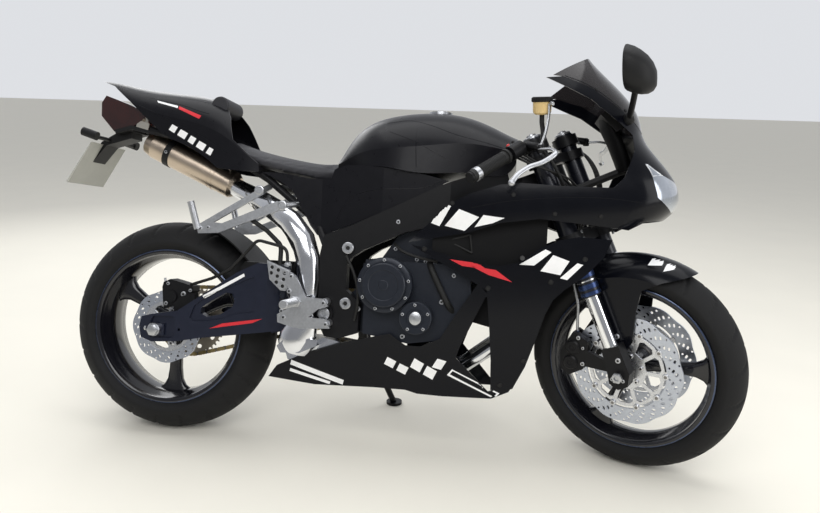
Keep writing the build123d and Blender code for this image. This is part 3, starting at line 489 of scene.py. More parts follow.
def wavy(cx, cz, radius, depth, waves, seg=360):
    """Scalloped outline of a wave disc."""
    points = []
    for a in turns(seg):
        r = radius - depth * (0.5 - 0.5 * math.cos(waves * a)) ** 1.5
        points.append((cx + r * math.cos(a), cz + r * math.sin(a)))
    return points


def disc_holes(cx, cz, drillings):
    """Outlines of the round and slotted drillings of a disc."""
    holes = []
    for radius, count, phase, length, half, slant in drillings:
        for x, z, a in around(cx, cz, radius, count, phase):
            holes.append(slot_hole(x, z, length, half, a + slant) if length else circle(x, z, half, 14))
    return holes


def carrier_windows(cx, cz, count, corners):
    """Outlines of the equal windows in a disc's carrier."""
    return [[(cx + r * math.cos(a + off), cz + r * math.sin(a + off)) for r, off in corners]
            for a in turns(count, 0.5)]


def front_disc_pieces():
    """Wave discs on their carriers, with floating buttons and screws."""
    x, z = WHEELBASE, FRONT_R
    for name, side in SIDES:
        y = side * 68.0
        bm = bmesh.new()
        add_plate(bm, wavy(x, z, 155, 5, 10), [circle(x, z, 110, 120)] + disc_holes(x, z, FRONT_DRILLINGS),
                  y - 2.4, y + 2.4, bevel=0.5)
        windows = carrier_windows(x, z, 10, FRONT_WINDOW) + [circle(x, z, 24, 48)]
        y0, y1 = sorted((y - side * 0.5, y - side * 5.5))
        add_plate(bm, circle(x, z, 105, 120), windows, y0, y1, bevel=0.6, mat=1)
        for px, pz, _ in around(x, z, 107.5, 10):
            add_rod(bm, (px, y - side * 4, pz), (px, y + side * 5, pz), 8.5, seg=20, chamfer=1.2, mat=1)
            add_rod(bm, (px, y + side * 4.6, pz), (px, y + side * 5.6, pz), 4.5, seg=16, chamfer=0.4, mat=2)
        for px, pz, _ in around(x, z, 42, 6, 0.25):
            add_bolt(bm, (px, y - side * 4, pz), (0, side, 0), 6.5, 9, mat=3)
        add_rod(bm, (x, y - side * 14, z), (x, y - side * 2, z), 34, seg=48, chamfer=1.5, mat=2)
        keys = ("disc_steel", "disc_ring", "dark_steel", "bright_steel", "rubber")
        piece = finish_piece("front_disc_" + name, bm, STEERED, keys, "front_wheel")
        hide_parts("front_discs")


def rear_disc_piece():
    """Wave disc on its five-armed carrier, with screws."""
    bm = bmesh.new()
    x, y, z = 0, -73.5, REAR_R
    add_plate(bm, wavy(x, z, 110, 4, 8), [circle(x, z, 76, 96)] + disc_holes(x, z, REAR_DRILLINGS),
              y - 2.4, y + 2.4, bevel=0.5)
    windows = [circle(x, z, 22, 40)] + carrier_windows(x, z, 5, REAR_WINDOW)
    add_plate(bm, circle(x, z, 77.5, 96), windows, y - 1.0, y + 6.0, bevel=0.6, mat=1)
    for px, pz, _ in around(x, z, 52, 5):
        add_bolt(bm, (px, y, pz), (0, -1, 0), 7, 7, mat=2)
    add_rod(bm, (x, y + 1, z), (x, -60, z), 34, seg=40, chamfer=1.5, mat=1)
    piece = finish_piece("rear_disc_plate", bm, BIKE, ("disc_steel", "disc_ring", "bright_steel", "rubber"),
                         "rear_wheel")
    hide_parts("rear_disc")


# ---- chain and sprocket ---------------------------------------------------------------------

TEETH = 43
TOOTH = (
    # place along the pitch from the tooth's middle, radius
    (-0.32, 104.4), (-0.2, 105.2), (-0.09, 111.4), (0.0, 112.3), (0.09, 111.4), (0.2, 105.2), (0.32, 104.4),
    (0.5, 103.4),
)
DRIVE_X, DRIVE_Z = 575.0, 405.0
REAR_PITCH_R, DRIVE_PITCH_R = 109.0, 41.5
CHAIN_Y = 104.0
CHAIN_PITCH = 15.875
# A link's side plate: overhang past the pin, half height, depth and length of its waist
PLATE_OVERHANG, PLATE_HALF, WAIST_DEPTH, WAIST_RUN = 6.2, 7.2, 2.0, 4.2


def sprocket_piece():
    """Chain wheel with teeth and lightening slots, on its carrier."""
    outline = []
    for base in turns(TEETH):
        for off, r in TOOTH:
            a = base + off * 2 * math.pi / TEETH
            outline.append((r * math.cos(a), REAR_R + r * math.sin(a)))
    holes = [circle(0, REAR_R, 44, 64)]
    holes += [slot_hole(x, z, 17, 6.5, a + math.pi / 2) for x, z, a in around(0, REAR_R, 86, 10)]
    bm = bmesh.new()
    add_plate(bm, outline, holes, 101, 107)
    add_rod(bm, (0, 62, REAR_R), (0, 101, REAR_R), 70, 62, seg=64, chamfer=2, mat=1)
    for x, z, _ in around(0, REAR_R, 54, 5, 0.5):
        add_bolt(bm, (x, 105, z), (0, 1, 0), 7.5, 6, mat=2)
    piece = finish_piece("sprocket_detail", bm, BIKE, ("sprocket", "wheel_black", "bright_steel", "rubber"),
                         "rear_wheel")
    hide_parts("rear_sprocket")


def belt_path(big_steps=120, small_steps=40):
    """Closed line round both sprockets, on their pitch radii."""
    big, small = REAR_PITCH_R, DRIVE_PITCH_R
    dx, dz = DRIVE_X, DRIVE_Z - REAR_R
    lift = math.atan2(dz, dx)
    spread = math.acos((big - small) / math.hypot(dx, dz))
    points = []
    for k in range(big_steps + 1):
        a = lift + spread + (2 * math.pi - 2 * spread) * k / big_steps
        points.append(Vector((big * math.cos(a), 0, REAR_R + big * math.sin(a))))
    for k in range(small_steps + 1):
        a = lift - spread + (2 * spread) * k / small_steps
        points.append(Vector((dx + small * math.cos(a), 0, DRIVE_Z + small * math.sin(a))))
    points.append(points[0].copy())
    return points


def walk(points, step):
    """An even number of places along a line, at equal steps of about the given length."""
    total = sum((b - a).length for a, b in zip(points, points[1:]))
    count = int(total / step) // 2 * 2
    step = total / count
    out, travelled, index, run = [], 0.0, 0, (points[1] - points[0]).length
    for k in range(count):
        want = k * step
        while travelled + run < want:
            travelled += run
            index += 1
            run = (points[index + 1] - points[index]).length
        a, b = points[index], points[index + 1]
        out.append(a + (b - a) * ((want - travelled) / run))
    return out


def chain_piece():
    """Roller chain: alternating inner and outer figure-eight side plates with pins and rollers."""
    bm = bmesh.new()
    stops = walk(belt_path(), CHAIN_PITCH)
    for i, place in enumerate(stops):
        following = stops[(i + 1) % len(stops)]
        middle = (place + following) / 2
        along = (following - place).normalized()
        across = Vector((-along.z, 0, along.x))
        inner = i % 2 == 0
        for side in (-1, 1):
            y = CHAIN_Y + side * (5.2 if inner else 7.4)
            loop = []
            for a in turns(20):
                u = (CHAIN_PITCH / 2 + PLATE_OVERHANG) * math.cos(a)
                waist = PLATE_HALF - WAIST_DEPTH * math.exp(-(u / WAIST_RUN) ** 2)
                loop.append(middle + along * u + across * waist * math.sin(a))
            faces = [[Vector((p.x, y + half, p.z)) for p in loop] for half in (-0.9, 0.9)]
            add_ring_strip(bm, faces, mat=0 if inner else 1)
        for half, radius, seg, chamfer, mat in ((9.2, 2.6, 10, 0.5, 1), (4.6, 5.0, 12, 0.0, 0)):
            near, far = [(place.x, CHAIN_Y + end, place.z) for end in (-half, half)]
            add_rod(bm, near, far, radius, seg=seg, chamfer=chamfer, mat=mat)
    piece = finish_piece("chain_links", bm, BIKE, ("dark_steel", "chain_gold"), "chassis", smooth=30)
    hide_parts("drive_chain")


tyre_piece("rear_tyre_tread", "rear_tyre", 0, REAR_R, 180, 96, BIKE, "rear_wheel", (22, 0.55, 0.075))
tyre_piece("front_tyre_tread", "front_tyre", WHEELBASE, FRONT_R, 120, 63, STEERED, "front_wheel",
           (20, -0.5, 0.07))
rim_piece("rear_wheel_casting", "rear_rim", 0, REAR_R, 77, 62, 44, 12.55, (270, 150, 30), 24, BIKE,
          "rear_wheel")
rim_piece("front_wheel_casting", "front_rim", WHEELBASE, FRONT_R, 51.5, 52, 34, 11.05, (4, 124, 244), 21,
          STEERED, "front_wheel")
front_disc_pieces()
rear_disc_piece()
sprocket_piece()
chain_piece()

# ---- things laid on the CAD's own surfaces --------------------------------------------------


def skin_of(*names, place=BIKE):
    """Search tree over CAD nodes, in bike millimetres."""
    to_bike = place.inverted()
    points, faces = [], []
    for name in names:
        mesh = NODES[name].data
        first = len(points)
        points += [to_bike @ vertex.co for vertex in mesh.vertices]
        faces += [[first + i for i in polygon.vertices] for polygon in mesh.polygons]
    return BVHTree.FromPolygons(points, faces)


RAY_START_Y, LEAST_Y = 600.0, 20


def land(skin, x, z, side):
    """Where a level ray from one side meets a skin, with the normal that faces the ray."""
    spot, normal, _, _ = skin.ray_cast(Vector((x, side * RAY_START_Y, z)), Vector((0, -side, 0)))
    if spot is None or spot.y * side < LEAST_Y:
        return None, None
    return spot, normal if normal.y * side > 0 else -normal


FILM_ROWS, FILM_COLUMNS = 8, 16
FILM_LIFT, LIFT_PER_COLOUR = 0.5, 0.2
BEAD_SUNK = 0.3


def add_marking(bm, skin, corners, side, colour=0):
    """Painted patch: a four-cornered outline in (x, z) laid on a skin as a thin film."""
    lift = FILM_LIFT + LIFT_PER_COLOUR * colour
    a, b, c, d = [Vector(corner) for corner in (corners if side < 0 else reversed(corners))]
    grid = []
    for i in range(FILM_ROWS + 1):
        v = i / FILM_ROWS
        line = []
        for j in range(FILM_COLUMNS + 1):
            u = j / FILM_COLUMNS
            p = (a * (1 - u) + b * u) * (1 - v) + (d * (1 - u) + c * u) * v
            spot, normal = land(skin, p.x, p.y, side)
            line.append(bm.verts.new(spot + normal * lift) if spot else None)
        grid.append(line)
    for here, below in zip(grid, grid[1:]):
        for j in range(FILM_COLUMNS):
            quad = (here[j], here[j + 1], below[j + 1], below[j])
            if all(quad):
                bm.faces.new(quad).material_index = colour


def add_line(bm, skin, points, side, radius, mat=0):
    """Thin bead along a side-view line on a skin, for edges, seams and the dark lines of painted shade along
    the tank's creases.
    """
    path = []
    for p in smooth_path([(x, 0, z) for x, z in points], 10):
        spot, normal = land(skin, p.x, p.z, side)
        if spot:
            path.append(spot - normal * radius * BEAD_SUNK)
    if len(path) > 2:
        add_hose(bm, path, radius, seg=8, steps=1, mat=mat)


def add_skin_bolt(bm, skin, x, z, side, radius, height, mat=0):
    """Socket-head screw standing square on a skin."""
    spot, normal = land(skin, x, z, side)
    if spot:
        add_bolt(bm, spot - normal * 0.5, normal, radius, height, mat)


GRAPHICS = {
    # skin node: rows of (four corners (x, z), colour: 0 white, 1 red, 2 black)
    "front_cowl": (
        (((809, 719), (847, 708), (818, 653), (777, 667)), 0),
        (((869, 701), (923, 682), (886, 644), (832, 655)), 0),
        (((934, 688), (990, 683), (960, 668), (912, 655)), 0),
    ),
    "side_fairings": (
        (((1101, 606), (1117, 599), (1074, 562), (1035, 562)), 0),
        (((1122, 592), (1165, 578), (1143, 540), (1091, 548)), 0),
        (((1186, 574), (1201, 570), (1162, 528), (1143, 532)), 0),
        (((850, 566), (926, 560), (949, 545), (884, 550)), 1),
        (((906, 552), (975, 544), (1019, 514), (955, 530)), 1),
    ),
    "tail_cowl": (
        (((-64, 990), (8, 974), (9, 967), (-58, 983)), 0),
        (((12, 973), (88, 945), (83, 935), (13, 964)), 1),
        (((-14, 902), (-2, 918), (16, 909), (4, 892)), 0),
        (((14, 887), (26, 904), (50, 892), (38, 874)), 0),
        (((48, 869), (60, 886), (78, 877), (66, 859)), 0),
        (((76, 854), (88, 871), (112, 859), (100, 841)), 0),
        (((110, 836), (122, 853), (136, 846), (126, 828)), 0),
    ),
    "swingarm": (
        (((140, 421), (261, 492), (264, 484), (145, 413)), 0),
        (((165, 328), (203, 345), (321, 366), (292, 352)), 1),
    ),
    "belly_pans": (
        (((404, 251), (560, 204), (556, 190), (400, 237)), 0),
        (((400, 226), (520, 196), (517, 188), (397, 217)), 0),
        (((687, 284), (712, 273), (702, 252), (677, 263)), 0),
        (((722, 268), (747, 257), (737, 236), (712, 247)), 0),
        (((763, 286), (790, 272), (778, 246), (751, 260)), 0),
        (((799, 267), (826, 253), (814, 227), (787, 241)), 0),
        (((827, 290), (852, 284), (837, 258), (812, 264)), 0),
        (((868, 262), (1001, 200), (986, 183), (854, 244)), 0),
        (((870, 257), (993, 199), (985, 189), (862, 247)), 2),
    ),
}
FENDER_BARS = (((1423, 618), (1454, 621), (1450, 597), (1416, 596)),
               ((1462, 609), (1488, 611), (1481, 589), (1458, 584)))


def markings():
    """Plain bars and streaks, the same on both sides."""
    for node, rows in GRAPHICS.items():
        bm, skin = bmesh.new(), skin_of(node)
        for corners, colour in rows:
            for side in (-1, 1):
                add_marking(bm, skin, corners, side, colour)
        film = finish_piece("marking_" + node, bm, BIKE, ("white", "red", "gloss_black"), "chassis")
    bm = bmesh.new()
    skin = skin_of("front_fender", place=STEERED)
    for corners in FENDER_BARS:
        for side in (-1, 1):
            add_marking(bm, skin, corners, side)
    film = finish_piece("marking_front_fender", bm, STEERED, "white", "steering")


# ---- seat pad, in metres of the row frame ---------------------------------------------------

SEAT_DRAWN_IN = 0.0025
SEAT_VOXEL = 0.005
PUFF_PRESSURE = 4.0
PUFF_FRAMES = 20
PUFF_LIMIT = 0.004
# The seam's groove, in bike millimetres: height at x = 500, slope, half width, depth
SEAM_HEIGHT, SEAM_SLOPE, SEAM_HALF, SEAM_DEPTH = 806.0, -0.075, 5, 1.8


def bake(piece):
    """Applies the modifiers of a piece to its mesh."""
    graph = bpy.context.evaluated_depsgraph_get()
    mesh = bpy.data.meshes.new_from_object(piece.evaluated_get(graph))
    piece.modifiers.clear()
    piece.data = mesh


def puff(piece):
    """Swells a piece by cloth pressure."""
    cloth = piece.modifiers.new("puff", "CLOTH")
    cloth.settings.quality = 6
    cloth.settings.mass = 0.3
    cloth.settings.use_pressure = True
    cloth.settings.uniform_pressure_force = PUFF_PRESSURE
    cloth.settings.effector_weights.gravity = 0.0
    for step in range(1, PUFF_FRAMES + 1):
        bpy.context.scene.frame_set(step)
    bake(piece)
    bpy.context.scene.frame_set(1)


def seat_piece():
    """Rider's pad: the solid drawn in a little, remeshed, puffed by cloth pressure, then seamed."""
    mesh = NODES["seat"].data.copy()
    mesh.name = "seat_pad"
    bm = bmesh.new()
    bm.from_mesh(mesh)
    bmesh.ops.remove_doubles(bm, verts=bm.verts, dist=1e-5)
    bm.normal_update()
    for vertex in bm.verts:
        vertex.co -= vertex.normal * SEAT_DRAWN_IN
    bm.to_mesh(mesh)
    bm.free()
    piece = bpy.data.objects.new("seat_pad", mesh)
    bpy.context.collection.objects.link(piece)
    remesh = piece.modifiers.new("even", "REMESH")
    remesh.mode = "VOXEL"
    remesh.voxel_size = SEAT_VOXEL
    bake(piece)
    start = [vertex.co.copy() for vertex in piece.data.vertices]
    puff(piece)
    to_bike = BIKE.inverted()
    for vertex, rest in zip(piece.data.vertices, start):
        move = vertex.co - rest
        if move.length > PUFF_LIMIT:
            vertex.co = rest + move.normalized() * PUFF_LIMIT
        spot = to_bike @ rest
        near = abs(spot.z - (SEAM_HEIGHT + (spot.x - 500) * SEAM_SLOPE))
        if near < SEAM_HALF and abs(spot.y) > 40:
            inward = BIKE.to_3x3() @ Vector((0, -1 if spot.y > 0 else 1, 0))
            vertex.co += inward * (SEAM_DEPTH * (1 - near / SEAM_HALF))
    for polygon in piece.data.polygons:
        polygon.use_smooth = True
    piece.data.materials.clear()
    piece.data.materials.append(MATERIALS["seat_cover"])
    finer = piece.modifiers.new("smooth", "SUBSURF")
    finer.levels = 1
    finer.render_levels = 1
    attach(piece, "chassis")
    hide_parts("seat")


# ---- engine, frame and foot controls --------------------------------------------------------

FRAME_BOLTS = (
    # x, z, radius, height
    (621, 573, 6, 4), (689, 585, 6, 4), (751, 558, 6, 4), (576, 533, 7, 5), (599, 414, 7, 5),
    (830, 446, 7, 5), (726, 344, 7, 5), (678, 604, 6, 4), (803, 554, 6, 4), (776, 553, 6, 4),
    (700, 660, 6, 4), (860, 520, 6, 4),
)
FRAME_NUTS = ((564, 581), (562, 426))
NUT_PROFILE = ((-6, 16), (4, 16), (5.5, 14), (5.5, 8.5), (3, 7.5), (3, 1))
COVER_FACES = (
    # x, y, z, side, profile of (distance outwards, radius), segments
    (675, -205, 486, -1, ((-3, 60), (1.5, 60), (4, 57), (4, 42), (2.4, 40), (2.4, 14), (4, 12), (4, 1)), 64),
    (675, -190, 486, -1, ((-3, 75.5), (2, 75.5), (3.5, 73), (3.5, 62)), 64),
    (766, -200, 402, -1, ((-3, 44), (2, 44), (3.5, 42), (3.5, 25), (2, 24), (2, 1)), 64),
    (765, 188, 430, 1, ((-3, 70), (2, 70), (3.5, 68), (3.5, 50), (2, 48), (2, 1)), 64),
    (605, 176, 405, 1, ((-3, 66), (1.5, 66), (3, 63), (3, 40), (1.6, 38), (1.6, 1)), 64),
    (664, -146, 528, -1, ((0, 18), (6, 18), (8, 15), (20, 15), (22, 13), (22, 1)), 12),
)
COVER_SCREWS = (
    # x, z, radius of the ring, y, side, count, radius of a screw
    (675, 486, 68, -190, -1, 9, 4.6), (766, 402, 36, -200, -1, 5, 4.2), (765, 430, 60, 188, 1, 8, 4.6),
    (605, 405, 56, 176, 1, 5, 4.6),
)
ENGINE_HOSES = (
    # radius, points
    (9, ((790, -140, 552), (801, -158, 530), (820, -160, 493), (844, -158, 448), (862, -140, 420))),
    (4, ((690, -140, 600), (715, -158, 580), (760, -160, 566), (812, -150, 556))),
    (4, ((560, -165, 560), (590, -172, 500), (600, -172, 440), (590, -160, 380))),
)


def engine_pieces():
    """Frame bolts, faces and screws of the engine's covers, and the hoses beside it."""
    bm = bmesh.new()
    skin = skin_of("engine_block", "engine_covers", "main_frame")
    for side in (-1, 1):
        for x, z, radius, height in FRAME_BOLTS:
            add_skin_bolt(bm, skin, x, z, side, radius, height)
        for x, z in FRAME_NUTS:
            spot, _ = land(skin, x, z, side)
            if spot:
                add_turned(bm, spot, (0, side, 0), NUT_PROFILE, 32)
                add_rod(bm, spot, spot + Vector((0, side * 3.6, 0)), 6.5, seg=6, mat=1)
    fasteners = finish_piece("frame_fasteners", bm, BIKE, ("silver", "rubber"), "chassis")
    bm = bmesh.new()
    for x, y, z, side, profile, seg in COVER_FACES:
        add_turned(bm, (x, y, z), (0, side, 0), profile, seg)
    for z in range(572, 653, 10):
        add_rod(bm, (700, 113, z), (850, 113, z), 2.2, seg=8)
    trim = finish_piece("engine_cover_faces", bm, BIKE, "engine_black", "chassis")
    bm = bmesh.new()
    for x, z, ring_radius, y, side, count, radius in COVER_SCREWS:
        for px, pz, _ in around(x, z, ring_radius, count, 0.3):
            add_bolt(bm, (px, y + side * 2, pz), (0, side, 0), radius, 5)
    ahead, up = Vector((1, 0, 0)), Vector((0, 0, 1))
    badge = [oval(Vector((766, -203 - out, 402)), ahead, up, 16 * scale, 18 * scale, 40)
             for out, scale in ((0, 1.0), (2.5, 1.0), (3.5, 0.9))]
    add_ring_strip(bm, badge)
    screws = finish_piece("engine_cover_screws", bm, BIKE, ("silver", "rubber"), "chassis")
    bm = bmesh.new()
    for radius, points in ENGINE_HOSES:
        add_hose(bm, points, radius)
    hoses = finish_piece("engine_hoses", bm, BIKE, "rubber", "chassis")


HEEL_OUTLINE = ((347, 532), (408, 509), (409, 472), (397, 457), (386, 458), (356, 485))
HEEL_HOLES = ((359, 517), (357, 501), (377, 510), (395, 502), (375, 493), (393, 485), (373, 476), (391, 466))
REARSET_BOLTS = ((431, 430), (399, 381), (510, 427), (519, 369), (416, 495), (412, 454))
PEG_RING = ((-1.6, 11.1), (-1.1, 12.2), (1.1, 12.2), (1.6, 11.1))
BRACKET_BOLT = ((-2, 13.5), (4, 13.5), (5, 12), (5, 9), (2.5, 8), (2.5, 1))


def footrest_pieces():
    """Heel guards, ribbed pegs, the master cylinder's bellows and the bracket bolts."""
    for name, side in SIDES:
        bm = bmesh.new()
        y0, y1 = sorted((side * 196.2, side * 198.4))
        add_plate(bm, HEEL_OUTLINE, [circle(x, z, 5.2, 20) for x, z in HEEL_HOLES], y0, y1, bevel=0.5)
        for x, z in HEEL_HOLES:
            add_rod(bm, (x, side * 196.0, z), (x, side * 196.5, z), 6, seg=20, mat=1)
        for x, z in REARSET_BOLTS:
            add_bolt(bm, (x, side * 199.5, z), (0, side, 0), 6.5, 4.5)
        for k in range(14):
            out = 14 + 5 * k
            place = (431 - 0.07 * out, side * (200 + out), 426 - 0.02 * out)
            add_turned(bm, place, (0, side, 0), PEG_RING, 18)
        add_turned(bm, (425, side * 285, 424), (0, side, 0), [(-1, 12.5), (3, 12.5), (5, 10), (5, 1)], 28)
        add_turned(bm, (431, side * 200, 426), (0, side, 0), [(-1, 16), (5, 16), (7, 13), (7, 2)], 6)
        detail = finish_piece("footrest_detail_" + name, bm, BIKE, ("silver", "rubber"), "chassis")
    bm = bmesh.new()
    for k in range(6):
        z = 398 + 6 * k
        x = 390 - 2 * (z - 396) / 40
        add_turned(bm, (x, -176, z), (0, 0, 1), [(-2.6, 8.2), (0, 11.4), (2.6, 8.2)], 24, mat=1)
    cap = [(-4, 10.5), (3, 10.5), (5, 8), (8, 8), (9, 6), (9, 1)]
    add_turned(bm, (397, -176, 524), (0.12, 0, 1), cap, 24)
    add_bolt(bm, (396, -192, 505), (0, -1, 0), 6, 5)
    add_bolt(bm, (390, -190, 397), (0, -1, 0), 6, 5)
    bellows = finish_piece("master_cylinder_detail", bm, BIKE, ("silver", "rubber"), "chassis")
    bm = bmesh.new()
    for side in (-1, 1):
        for x, z in ((297, 731), (366, 691)):
            add_turned(bm, (x, side * 155, z), (0, side, 0), BRACKET_BOLT, 28)
        add_bolt(bm, (126, side * 155.5, 614), (0, side, 0), 7, 5)
        add_bolt(bm, (150, side * 155.5, 618), (0, side, 0), 5, 4)
    brackets = finish_piece("bracket_bolts", bm, BIKE, ("silver", "rubber"), "chassis")


PIPE_STATIONS = (
    # x, y, z, radius along X, radius across
    (414, -146, 279, 40, 26), (418, -147, 296, 50, 30), (428, -147, 322, 54, 31), (438, -147, 350, 46, 30),
    (446, -147, 376, 38, 29), (449, -147, 404, 31, 29), (450, -148, 440, 31, 31), (450, -148, 490, 34, 33),
    (446, -148, 545, 35, 33), (428, -146, 598, 35, 33), (388, -140, 645, 34, 33), (336, -112, 676, 33, 32),
    (285, -80, 700, 31, 31), (232, -42, 722, 28, 28), (190, -10, 738, 26, 26), (166, 0, 749, 25, 25),
)
MUFFLER_BANDS = (
    # distance along the muffler, width, how proud, radius, material
    (236, 20, 1.6, 42, 1), (74, 5, 1.2, 42, 0), (86, 3, 0.8, 42, 0), (20, 10, 1.5, 38, 1),
)


def pipe_rings():
    """Polished link pipe that swells into the welded chamber under the footrest."""
    path = [Vector(row[:3]) for row in PIPE_STATIONS]
    frames = carried_frames(path, Vector((1, 0, 0)))
    return [oval(p, u, v, row[3], row[4], 40) for row, p, (u, v) in zip(PIPE_STATIONS, path, frames)]


def exhaust_pieces():
    """Bands of the muffler, clamps and the link pipe."""
    bm = bmesh.new()
    front, back = Vector((172, 0, 746)), Vector((-118, 0, 874))
    along = (back - front).normalized()
    for far, width, proud, radius, mat in MUFFLER_BANDS:
        half = width / 2
        band = [(-half, radius - 1), (-half, radius + proud), (half, radius + proud), (half, radius - 1)]
        add_turned(bm, front + along * far, along, band, 64, mat)
    add_bolt(bm, front + along * 236 + Vector((0, -42, 0)), (0, -1, 0), 5, 6, mat=2)
    for place, axis in (((385, -140, 640), (-0.72, 0.35, 0.69)), ((270, -72, 700), (-0.85, 0.35, 0.5))):
        add_turned(bm, place, axis, [(-3, 25.2), (-2, 26.6), (2, 26.6), (3, 25.2)], 40)
    add_ring_strip(bm, pipe_rings(), mat=4)
    keys = ("titanium", "black_plastic", "silver", "rubber", "stainless")
    bands = finish_piece("exhaust_bands", bm, BIKE, keys, "chassis")


REAR_NUT = ((-1, 20), (1.5, 20), (1.5, 17), (9, 17), (10.5, 14), (10.5, 3))
PIVOT_CAP = ((-2, 17), (2, 17), (3, 14), (3, 8), (1, 7), (1, 1))
REAR_CALIPER_BOLTS = ((63, 418, 8), (14, 447, 5), (84, 430, 5), (10, 388, 6))


def axle_pieces():
    """Axle nuts, chain adjusters, pivot caps and the rear caliper's bolts."""
    bm = bmesh.new()
    for side in (-1, 1):
        add_turned(bm, (0, side * 163, REAR_R), (0, side, 0), REAR_NUT, 6)
        add_rod(bm, (-24, side * 145, 316), (-42, side * 145, 317), 5, seg=16, chamfer=0.6)
        add_rod(bm, (-29, side * 145, 316.3), (-34, side * 145, 316.6), 8.5, seg=6)
        add_turned(bm, (505, side * 172, 395), (0, side, 0), PIVOT_CAP, 36)
    skin = skin_of("rear_caliper")
    for x, z, radius in REAR_CALIPER_BOLTS:
        add_skin_bolt(bm, skin, x, z, -1, radius, 5)
    add_rod(bm, (-2, -95, 452), (-4, -95, 462), 3.5, seg=6)
    nuts = finish_piece("rear_axle_nuts", bm, BIKE, ("silver", "rubber"), "chassis")


# ---- front end, drawn with the steering straight ahead --------------------------------------

FORK_Y = 107.0
STEER_UP = Vector((-math.sin(RAKE), 0, math.cos(RAKE)))
STEER_AHEAD = Vector((math.cos(RAKE), 0, math.sin(RAKE)))
FORK_RINGS = (
    # low end, high end, material
    (229, 240, 0), (247, 262, 0), (268, 273, 1), (279, 297, 0), (303, 307, 1),
)
FORK_CAP = ((-1, 25), (5, 25), (7, 22), (7, 14), (12, 13), (12, 6), (15, 5), (15, 1))
STEM_NUT = ((-1, 20), (3, 20), (3, 16), (12, 16), (13, 13), (13, 8), (8, 7), (8, 1))
FRONT_NUT = ((-2, 15), (5, 15), (6, 13), (6, 8), (1, 7), (1, 1))
PISTON_CAP = ((-2, 21), (3, 21), (6, 17), (6, 8), (4.5, 7), (4.5, 1))
FRONT_LEG_BOLTS = (
    # x, z, radius, height
    (1262, 306, 6, 4), (1248, 380, 6, 4), (1262, 352, 4.5, 4), (1388, 290, 5, 4), (1358, 290, 5, 4),
    (1350, 395, 7.5, 4), (1372, 345, 7.5, 4),
)


def fork_at(s, y, ahead=0.0):
    """Place s mm up the steering line from the front axle."""
    return Vector((WHEELBASE, y, FRONT_R)) + STEER_UP * s + STEER_AHEAD * ahead


def fork_pieces():
    """Rings and caps of the fork tubes, clamp bolts, and the hardware of the two legs."""
    bm = bmesh.new()
    for side in (-1, 1):
        y = side * FORK_Y
        for low, high, mat in FORK_RINGS:
            tall = high - low
            ring = [(0, 27), (1, 28.4), (tall - 1, 28.4), (tall, 27)]
            add_turned(bm, fork_at(low, y), STEER_UP, ring, 40, mat)
        add_turned(bm, fork_at(226, y), STEER_UP, [(0, 21), (0, 26), (3, 27.5), (5, 27)], 40, 2)
        add_turned(bm, fork_at(684, y), STEER_UP, FORK_CAP, 32, mat=3)
        for s in (363, 381, 400, 645):
            add_bolt(bm, fork_at(s, y, 36), STEER_AHEAD, 4.5, 5, mat=3)
    add_turned(bm, fork_at(632, 0, -30.3), STEER_UP, STEM_NUT, 6, mat=3)
    keys = ("ring_blue", "chrome", "rubber", "silver", "rubber")
    rings = finish_piece("fork_rings", bm, STEERED, keys, "steering")
    bm = bmesh.new()
    skin = skin_of("front_calipers", "fork_bottoms", "front_fender", place=STEERED)
    for side in (-1, 1):
        for x, z, radius, height in FRONT_LEG_BOLTS:
            add_skin_bolt(bm, skin, x, z, side, radius, height)
        for x, z in ((1226, 305), (1232, 350)):
            spot, _ = land(skin, x, z, side)
            if spot:
                add_turned(bm, spot, (0, side, 0), PISTON_CAP, 36, mat=2)
        add_turned(bm, (WHEELBASE, side * 143, FRONT_R), (0, side, 0), FRONT_NUT, 6)
        add_turned(bm, (1236, side * 79, 372), (0, 0, 1), [(-4, 7), (6, 7), (8, 5.5), (22, 5.5)], 16, mat=3)
    keys = ("silver", "rubber", "frame_black", "ring_blue")
    bolts = finish_piece("front_leg_bolts", bm, STEERED, keys, "steering")


BAR_IN, BAR_OUT = (1106, 135, 920), (1042, 335, 844)
BAR_COLLARS = (
    # share of the bar's length, width, radius, material
    (0.935, 16, 18.0, 1), (0.43, 8, 21, 0), (1.0, 12, 16.5, 0),
)
GRIP_RIB = ((-1.3, 16.8), (-0.9, 17.8), (0.9, 17.8), (1.3, 16.8))
CUP_X, CUP_Y = 1139, -130
CUP_BODY = ((0, 8), (0, 18), (4, 23), (10, 24.5), (36, 25))
CUP_CAP = ((-3, 26.5), (-2, 27.4), (9, 27.4), (11, 25), (11, 10), (9.5, 8), (9.5, 1))
CUP_HOSES = (
    # radius, material, squash, points
    (7, 1, 0.4, ((1152, -160, 914), (1160, -150, 950), (1163, -140, 990), (1163, -138, 1022))),
    (6.5, 0, 1.0, ((1139, -130, 994), (1141, -134, 972), (1150, -146, 948), (1152, -156, 922))),
    (4.5, 2, 1.0, ((1148, -156, 905), (1180, -152, 872), (1204, -118, 800), (1218, -82, 735),
                   (1213, -79, 664))),
)


